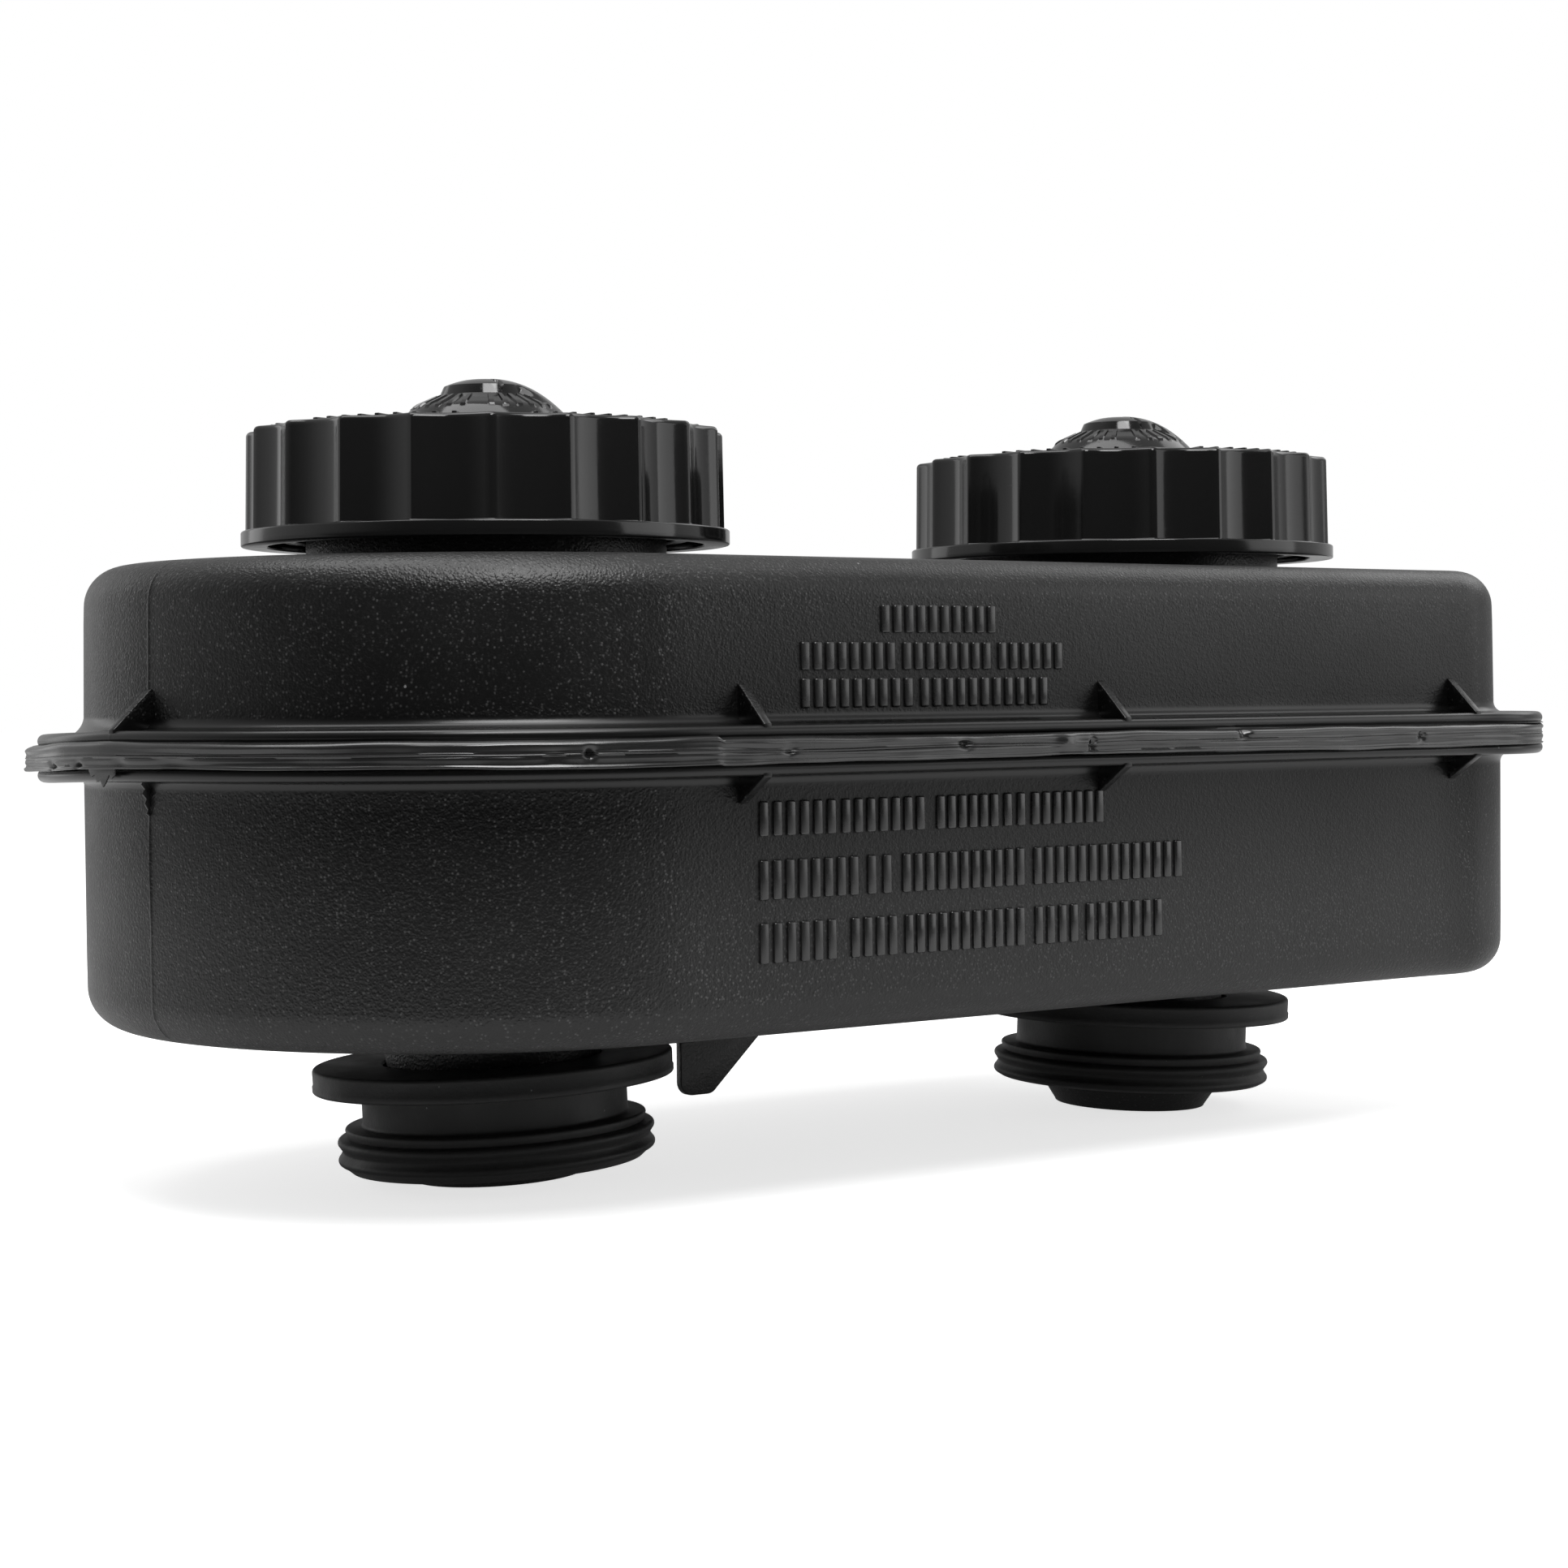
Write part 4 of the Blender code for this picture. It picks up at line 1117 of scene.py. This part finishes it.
@dataclass
class ScrewCap:
    """A fluted screw cap with a domed hub, a rim below its flutes and a threaded sleeve inside."""

    side: Side
    phase: float
    base_z: float = 97.35
    height: float = 17.75
    radius: float = 37.1
    rim_radius: float = 37.5
    rim_height: float = 2.3
    flute_count: int = 20
    flute_depth: float = 1.9
    flute_steps: int = 24
    hub_radius: float = 14.5
    hub_height: float = 8.2
    hub_steps: tuple[Pair, ...] = ((14.5, 0.0), (12.2, 3.2), (7.1, 5.5), (6.3, 7.3), (5.6, 7.75), (0.0, 8.2))
    hub_radii: tuple[float, ...] = (
        14.5, 14.2, 13.7, 13.1, 12.6, 12.2, 11.95, 11.8, 11.6, 11.0, 10.4, 9.8, 9.2, 8.6, 8.2, 7.95, 7.8, 7.4, 7.1,
        7.0, 6.8, 6.6, 6.45, 6.3, 6.2, 6.0, 5.8, 5.6, 5.2, 4.8, 4.4, 4.0, 3.6, 3.0, 2.2, 1.4, 0.7,
    )
    notch_angle: float = 261.0
    roof: float = 2.4
    sleeve_bore: float = 29.3
    sleeve_wall: float = 2.0
    thread_tip: float = 28.1
    thread_z: float = 100.45

    @property
    def top_z(self) -> float:
        """Height of the cap's flat top."""
        return self.base_z + self.height

    def flute(self, angle: float) -> float:
        """Depth of the flutes at an angle, with narrow rounded ridges between them."""
        share = ((angle - self.phase) * self.flute_count / (2 * math.pi)) % 1.0
        across = abs(2.0 * share - 1.0)
        soft = 0.09
        if across > 1.0 - soft:
            across = 1.0 - soft / 2 - (1.0 - across) ** 2 / (2 * soft)
        return self.flute_depth * (1.0 - across * across)

    def skirt(self, radius: float, z: float) -> Place:
        """Place function of a fluted loop."""
        return lambda angle: turn_place(self.side.x, radius - self.flute(angle), z)(angle)

    def hub_rise(self, radius: float, angle: float) -> float:
        """Height of the hub above the cap's top: a dome with a label band cut round most of it."""
        dome = self.hub_height * (1.0 - min(1.0, radius / self.hub_radius) ** 2.3)
        cut = 0.0
        for (far, low), (near, high) in zip(self.hub_steps, self.hub_steps[1:]):
            if near <= radius <= far:
                cut = low + (high - low) * (far - radius) / (far - near)
        turn = math.degrees(angle) % 360.0
        end = 294.0 + 3.2 * (radius - 8.5)
        within = span(turn, (24.0, 34.0), (end - 5.0, end + 5.0))
        rise = min(dome, cut) * within + dome * (1.0 - within)
        if within > 0.95 and 7.9 < radius < 11.8 and turn % 76.0 > 9.0:
            rise += 0.28 * ((turn / 11.0) % 1.0 < 0.42)
        spread = math.radians(abs((turn - self.notch_angle + 180.0) % 360.0 - 180.0)) * radius
        width = 0.7 * smoothstep(5.6, 8.1, rise) if 3.6 < radius < 6.9 else 0.0
        if spread < width:
            rise -= 0.9 * (1.0 - spread / width)
        return rise

    def hub(self, radius: float) -> Place:
        """Place function of a loop on the hub."""
        return lambda angle: turn_place(self.side.x, radius, self.top_z + self.hub_rise(radius, angle))(angle)

    def outside(self) -> list[Place]:
        """Loops from the rim's underside up the flutes and in over the hub."""
        x, top, rim, ledge = self.side.x, self.top_z, self.rim_radius, self.base_z + self.rim_height
        low, high, radius = ledge + 0.4, top - 0.8, self.radius
        foot = path((rim - 0.25, self.base_z), (rim - 0.25, self.base_z + 0.25, 0.25, -60, 0, 3),
                    (rim - 0.3, ledge - 0.3, 0.3, 0, 90, 4))
        shares = (0.0, 0.25, 0.5, 0.75, 1.0)
        wall = [(radius - 0.1 - 0.2 * share, low + (high - low) * share) for share in shares]
        shoulder = path((radius - 1.1, high, 0.8, 0, 90, 7), (radius - 1.6, top))[1:]
        fluted = [(radius + 0.02, ledge), (radius - 0.08, ledge + 0.12), *wall, *shoulder]
        flat = [(reach, top) for reach in (34.0, 28.0, 20.0, 15.6, 14.9)]
        skirt, hub = [self.skirt(*point) for point in fluted], [self.hub(reach) for reach in self.hub_radii]
        return turned(x, foot) + skirt + turned(x, flat) + hub

    def inside(self) -> list[Pair]:
        """Section from the middle of the ceiling out over the sleeve to the rim's underside."""
        base, top, ceiling, low = self.base_z, self.top_z, self.top_z - self.roof, self.base_z + 0.8
        bore, wall = self.sleeve_bore, self.sleeve_bore + self.sleeve_wall
        return [
            (0.7, top + 5.6), (5.0, top + 4.4), (10.5, top + 0.4), (12.3, ceiling), (bore - 0.4, ceiling),
            (bore, ceiling - 0.4), (bore, low + 0.2), (bore + 0.2, low), (wall - 0.2, low), (wall, low + 0.2),
            (wall, ceiling - 0.4), (wall + 0.4, ceiling), (32.9, ceiling), (33.5, ceiling - 0.6),
            (33.5, base + 0.2), (33.7, base),
        ]

    def rim_marks(self, bm: Mesh) -> None:
        """Adds plain raised strokes round the edge of the cap's top."""
        for step in range(72):
            if step % 12 not in (0, 1, 11):
                place = stand(self.side.x, 0, self.top_z, math.radians(step * 5.0 + 2.0)) @ stand(32.0, 0, 0)
                block(bm, (3.6, 0.75, 0.7), place, 0.12)

    def build(self, finish: Material) -> None:
        """Builds and places the cap in its finish."""
        bm = bmesh.new()
        turns = angles(self.flute_count * self.flute_steps)
        outside = self.outside()
        _, crown = loft(bm, turns, outside)
        bmesh.ops.edgeloop_fill(bm, edges=crown)
        ceiling, _ = loft(bm, turns, turned(self.side.x, self.inside()) + [outside[0]])
        bmesh.ops.edgeloop_fill(bm, edges=ceiling)
        thread(bm, self.side.x, self.sleeve_bore + 0.6, self.thread_tip, self.thread_z)
        self.rim_marks(bm)
        name, body = self.side.value, self.side.body("screw_cap")
        piece(f"{name}_fluted_cap", bm, finish, body, (f"{name}_cap",), 30.0)


@dataclass
class Bellows:
    """The rubber seal under a cap: a flange on the neck's rim and folds hanging inside the neck."""

    side: Side
    top_z: float = 112.4
    flange_radius: float = 28.7
    flange: float = 1.8
    outer: float = 24.2
    skin: float = 1.3
    drop: float = 13.5
    outer_fold: float = 17.4
    inner_fold: float = 10.2
    fold_height: float = 7.5

    def section(self) -> list[Pair]:
        """Open section from the middle of the top face round to the middle underneath."""
        top, under, wall, skin = self.top_z, self.top_z - self.flange, self.outer, self.skin
        low, half, fold, middle = under - self.drop, skin / 2, self.outer_fold, self.inner_fold
        crest = low + self.fold_height
        return path(
            (0.0, low + skin), (middle - 2.4, low + skin), (middle - 1.3, low + 2.4),
            (middle + 1.2, crest - 1.2, 1.5, 170, 90, 6), (fold - 1.2, crest - 1.2, 1.5, 90, 10, 6),
            (fold + 1.3, low + 2.4), (fold + 2.4, low + skin), (wall - 2.0, low + skin), (wall - skin, low + 2.2),
            (wall - skin, top - 0.4), (wall - skin + 0.4, top), (self.flange_radius - 0.4, top),
            (self.flange_radius - 0.5, under + 0.5, 0.5, 0, -90, 4), (wall + 0.3, under), (wall, under - 0.3),
            (wall, low + 1.6), (wall - 1.4, low), (fold + 1.9, low), (fold + half - 0.4, low + 1.9),
            (fold - half, crest - 2.0), (fold - 1.9, crest - skin), (middle + 1.9, crest - skin),
            (middle + half, crest - 2.0), (middle - half + 0.4, low + 1.9), (middle - 1.9, low), (0.0, low),
        )

    def build(self, finish: Material) -> None:
        """Builds and places the bellows in its finish."""
        bm = bmesh.new()
        loft(bm, angles(72), turned(self.side.x, self.section()))
        name, body = self.side.value, self.side.body("seal")
        piece(f"{name}_bellows_seal", bm, finish, body, (f"{name}_bellows",))


@dataclass
class Grommet:
    """A ribbed rubber seat: flange, neck, shoulder and sealing ribs round the spigot."""

    side: Side
    flange_low: float = 15.13
    flange_top: float = 18.83
    flange_radius: float = 27.7
    neck_radius: float = 20.4
    rib_middle: float = 23.65
    rib_radius: float = 0.7
    clearance: float = 0.45

    @property
    def foot(self) -> float:
        """Height of the foot's underside, which hangs lower on the left."""
        return 2.6 if self.side is Side.LEFT else 3.35

    def hole(self, z: float) -> float:
        """Radius of the hole at a height, just clear of the tapered spigot."""
        return 15.2 + 1.8 * (z - 3.7) / 22.3 + self.clearance

    def section(self) -> list[Pair]:
        """Closed section from the hole's top out over the flange and down the ribs."""
        low, top, rim, foot = self.flange_low, self.flange_top, self.flange_radius, self.foot
        neck, rib = self.neck_radius, self.rib_middle
        return path(
            (self.hole(top), top - 0.3), (self.hole(top) + 0.3, top), (rim - 0.6, top - 0.6, 0.6, 90, 0, 5),
            (rim - 0.05, low + 1.15), (rim + 0.1, low + 0.95), (rim - 0.3, low + 0.35, 0.4, 20, -90, 5),
            (neck + 0.8, low - 0.8, 0.8, 90, 180, 5), (neck, 10.3), (neck + 0.5, 10.0, 0.5, 180, 250, 3),
            (22.7, 9.05, 0.42, 90, 0, 4), (22.95, 8.4), (22.9, 8.1), (rib, 7.2, self.rib_radius, 100, -50, 7),
            (rib, 5.95), (rib, 5.75), (rib, 4.5, self.rib_radius, 50, -60, 6), (23.3, 3.5), (22.4, foot + 0.12),
            (21.5, foot), (self.hole(foot) + 0.3, foot), (self.hole(foot), foot + 0.3),
        )

    def build(self, finish: Material) -> None:
        """Builds and places the grommet in its finish."""
        bm, x, section = bmesh.new(), self.side.x, self.section()
        loft(bm, angles(160), turned(x, [*section, section[0]]))
        matrix = stand(0.0, 0.0, LEANS[x].lift) @ LEANS[x].matrix(x)
        bmesh.ops.transform(bm, matrix=matrix, verts=bm.verts)
        name = self.side.value
        piece(f"{name}_ribbed_grommet", bm, finish, Body.HOUSING, (f"{name}_grommet",), 40.0)


@dataclass
class Studio:
    """Plain pale floor and backdrop, soft lights and the camera."""

    target: Vector = field(default_factory=lambda: Vector((3.54, 0.0, 75.9)) * MM)
    distance: float = 512.23 * MM
    azimuth: float = math.radians(-35.98)
    elevation: float = math.radians(-0.13)
    roll: float = math.radians(0.53)
    focal: float = 3807.76
    centre: Pair = (983.12, 842.27)
    lamps: dict[str, tuple[Triple, Pair, float]] = field(default_factory=lambda: {
        "overhead": ((-0.1, -0.05, 0.95), (1.1, 0.45), 5.0),
        "front_top": ((-0.2, -0.54, 0.8), (0.45, 0.35), 4.8),
        "right_top": ((0.75, 0.05, 0.62), (0.5, 0.5), 1.2),
        "right_front": ((0.85, -0.75, 0.35), (0.7, 0.7), 1.8),
        "left_back": ((-0.3, 0.92, 0.28), (0.3, 0.6), 0.4),
    })
    aim: Vector = field(default_factory=lambda: Vector((0.0, 0.0, 0.06)))
    floor_size: float = 6.0
    floor_grey: float = 0.8

    def camera(self) -> None:
        """Sets up the camera at the photograph's angle."""
        az, el, roll = self.azimuth, self.elevation, self.roll
        ahead = Vector((-math.sin(az) * math.cos(el), math.cos(az) * math.cos(el), -math.sin(el)))
        right = ahead.cross(Vector((0, 0, 1))).normalized()
        up = right.cross(ahead)
        side = right * math.cos(roll) - up * math.sin(roll)
        rise = up * math.cos(roll) + right * math.sin(roll)
        data = bpy.data.cameras.new("camera")
        data.sensor_width = SENSOR
        data.lens = self.focal / PHOTO_SIZE * SENSOR
        data.shift_x = (PHOTO_SIZE / 2 - self.centre[0]) / PHOTO_SIZE
        data.shift_y = (self.centre[1] - PHOTO_SIZE / 2) / PHOTO_SIZE
        data.clip_start = 0.01
        item = bpy.data.objects.new("camera", data)
        axes = Matrix((side, rise, -ahead)).transposed().to_4x4()
        item.matrix_world = Matrix.Translation(self.target - ahead * self.distance) @ axes
        bpy.context.scene.collection.objects.link(item)
        bpy.context.scene.camera = item

    def light(self) -> None:
        """Adds the soft rectangular lights, which the camera doesn't see."""
        for name, (spot, size, power) in self.lamps.items():
            data = bpy.data.lights.new(name, "AREA")
            data.shape = "RECTANGLE"
            data.size, data.size_y = size
            data.energy = power
            item = bpy.data.objects.new(name, data)
            turn = (self.aim - Vector(spot)).to_track_quat("-Z", "Y").to_matrix().to_4x4()
            item.matrix_world = Matrix.Translation(spot) @ turn
            item.visible_camera = False
            bpy.context.scene.collection.objects.link(item)

    def floor(self) -> None:
        """Adds the pale floor, which is seen as white and keeps the shadow; in reflections it is a painted
        reflection, dimmer on the camera's side and faintly glowing.
        """
        bm = bmesh.new()
        bmesh.ops.create_grid(bm, x_segments=1, y_segments=1, size=self.floor_size)
        mesh = bpy.data.meshes.new("floor")
        bm.to_mesh(mesh)
        bm.free()
        paint = Paint("pale_floor", 0.9, 0.0)
        # Painted reflection: to glossy rays the floor is grey 0.64 with a faint glow, fading to 0.08 from 0.12 m to
        # 0.35 m out on the camera's side.
        near = paint.ramp(paint.dot(paint.spot, (*DARK_SIDE, 0.0)), 0.12, 0.35, 0.64, 0.08)
        paths = paint.node("LightPath").outputs
        glossy = paths["Is Glossy Ray"]
        darker = paint.times(glossy, paint.minus(self.floor_grey, near))
        paint.drive("Base Color", paint.minus(self.floor_grey, darker))
        seen = paint.math("MAXIMUM", paths["Is Camera Ray"], paint.times(glossy, paint.times(near, 0.22)))
        glow = paint.node("Emission", {"Color": (1, 1, 1, 1), "Strength": paint.times(seen, 0.72)})
        both = paint.node("AddShader", {0: paint.shader.outputs[0], 1: glow.outputs[0]})
        paint.tree.links.new(both.outputs[0], paint.tree.nodes["Material Output"].inputs["Surface"])
        mesh.materials.append(paint.material)
        item = bpy.data.objects.new("floor", mesh)
        bpy.context.scene.collection.objects.link(item)

    def world(self) -> None:
        """Makes a pale surround with a dark gap on the camera's side, and white for the camera."""
        world = bpy.data.worlds.new("surround")
        world.use_nodes = True
        graph = Graph(world.node_tree)
        spot = graph.node("TexCoord").outputs["Generated"]
        level = graph.ramp(graph.dot(spot, (*DARK_SIDE, -0.1)), -0.2, 0.8, 0.5, 0.06)
        by_camera = graph.node("LightPath").outputs["Is Camera Ray"]
        strength = graph.node("Mix", {0: by_camera, 2: level, 3: 1.0}, data_type="FLOAT")
        back = graph.tree.nodes["Background"]
        graph.tree.links.new(strength.outputs[0], back.inputs["Strength"])
        back.inputs["Color"].default_value = (1, 1, 1, 1)
        bpy.context.scene.world = world

    def build(self) -> None:
        """Sets up the camera, the floor, the surround and the lights."""
        self.camera()
        self.floor()
        self.world()
        self.light()
        bpy.context.scene.view_settings.view_transform = "Standard"


def main() -> None:
    """Builds the studio and every piece of the reservoir."""
    logging.basicConfig(level=logging.INFO, format="%(name)s: %(message)s")
    Studio().build()
    effects = Effects()
    housing, weld = HousingFinish().build(effects), WeldFinish().build(effects)
    gloss, rubber = CapFinish().build(effects), RubberFinish().build(effects)
    seal = RubberFinish(name="bellows_rubber", roughness=0.7).build(effects)
    for part, finish in ((UpperShell, housing), (LowerShell, housing), (WeldBead, weld), (TornFlash, weld),
                         (RaisedMarks, weld)):
        part().build(finish)
    for side, phase in ((Side.LEFT, 6.9), (Side.RIGHT, 2.6)):
        ScrewCap(side, math.radians(phase)).build(gloss)
        Bellows(side).build(seal)
        Grommet(side).build(rubber)


if __name__ == "__main__":
    main()
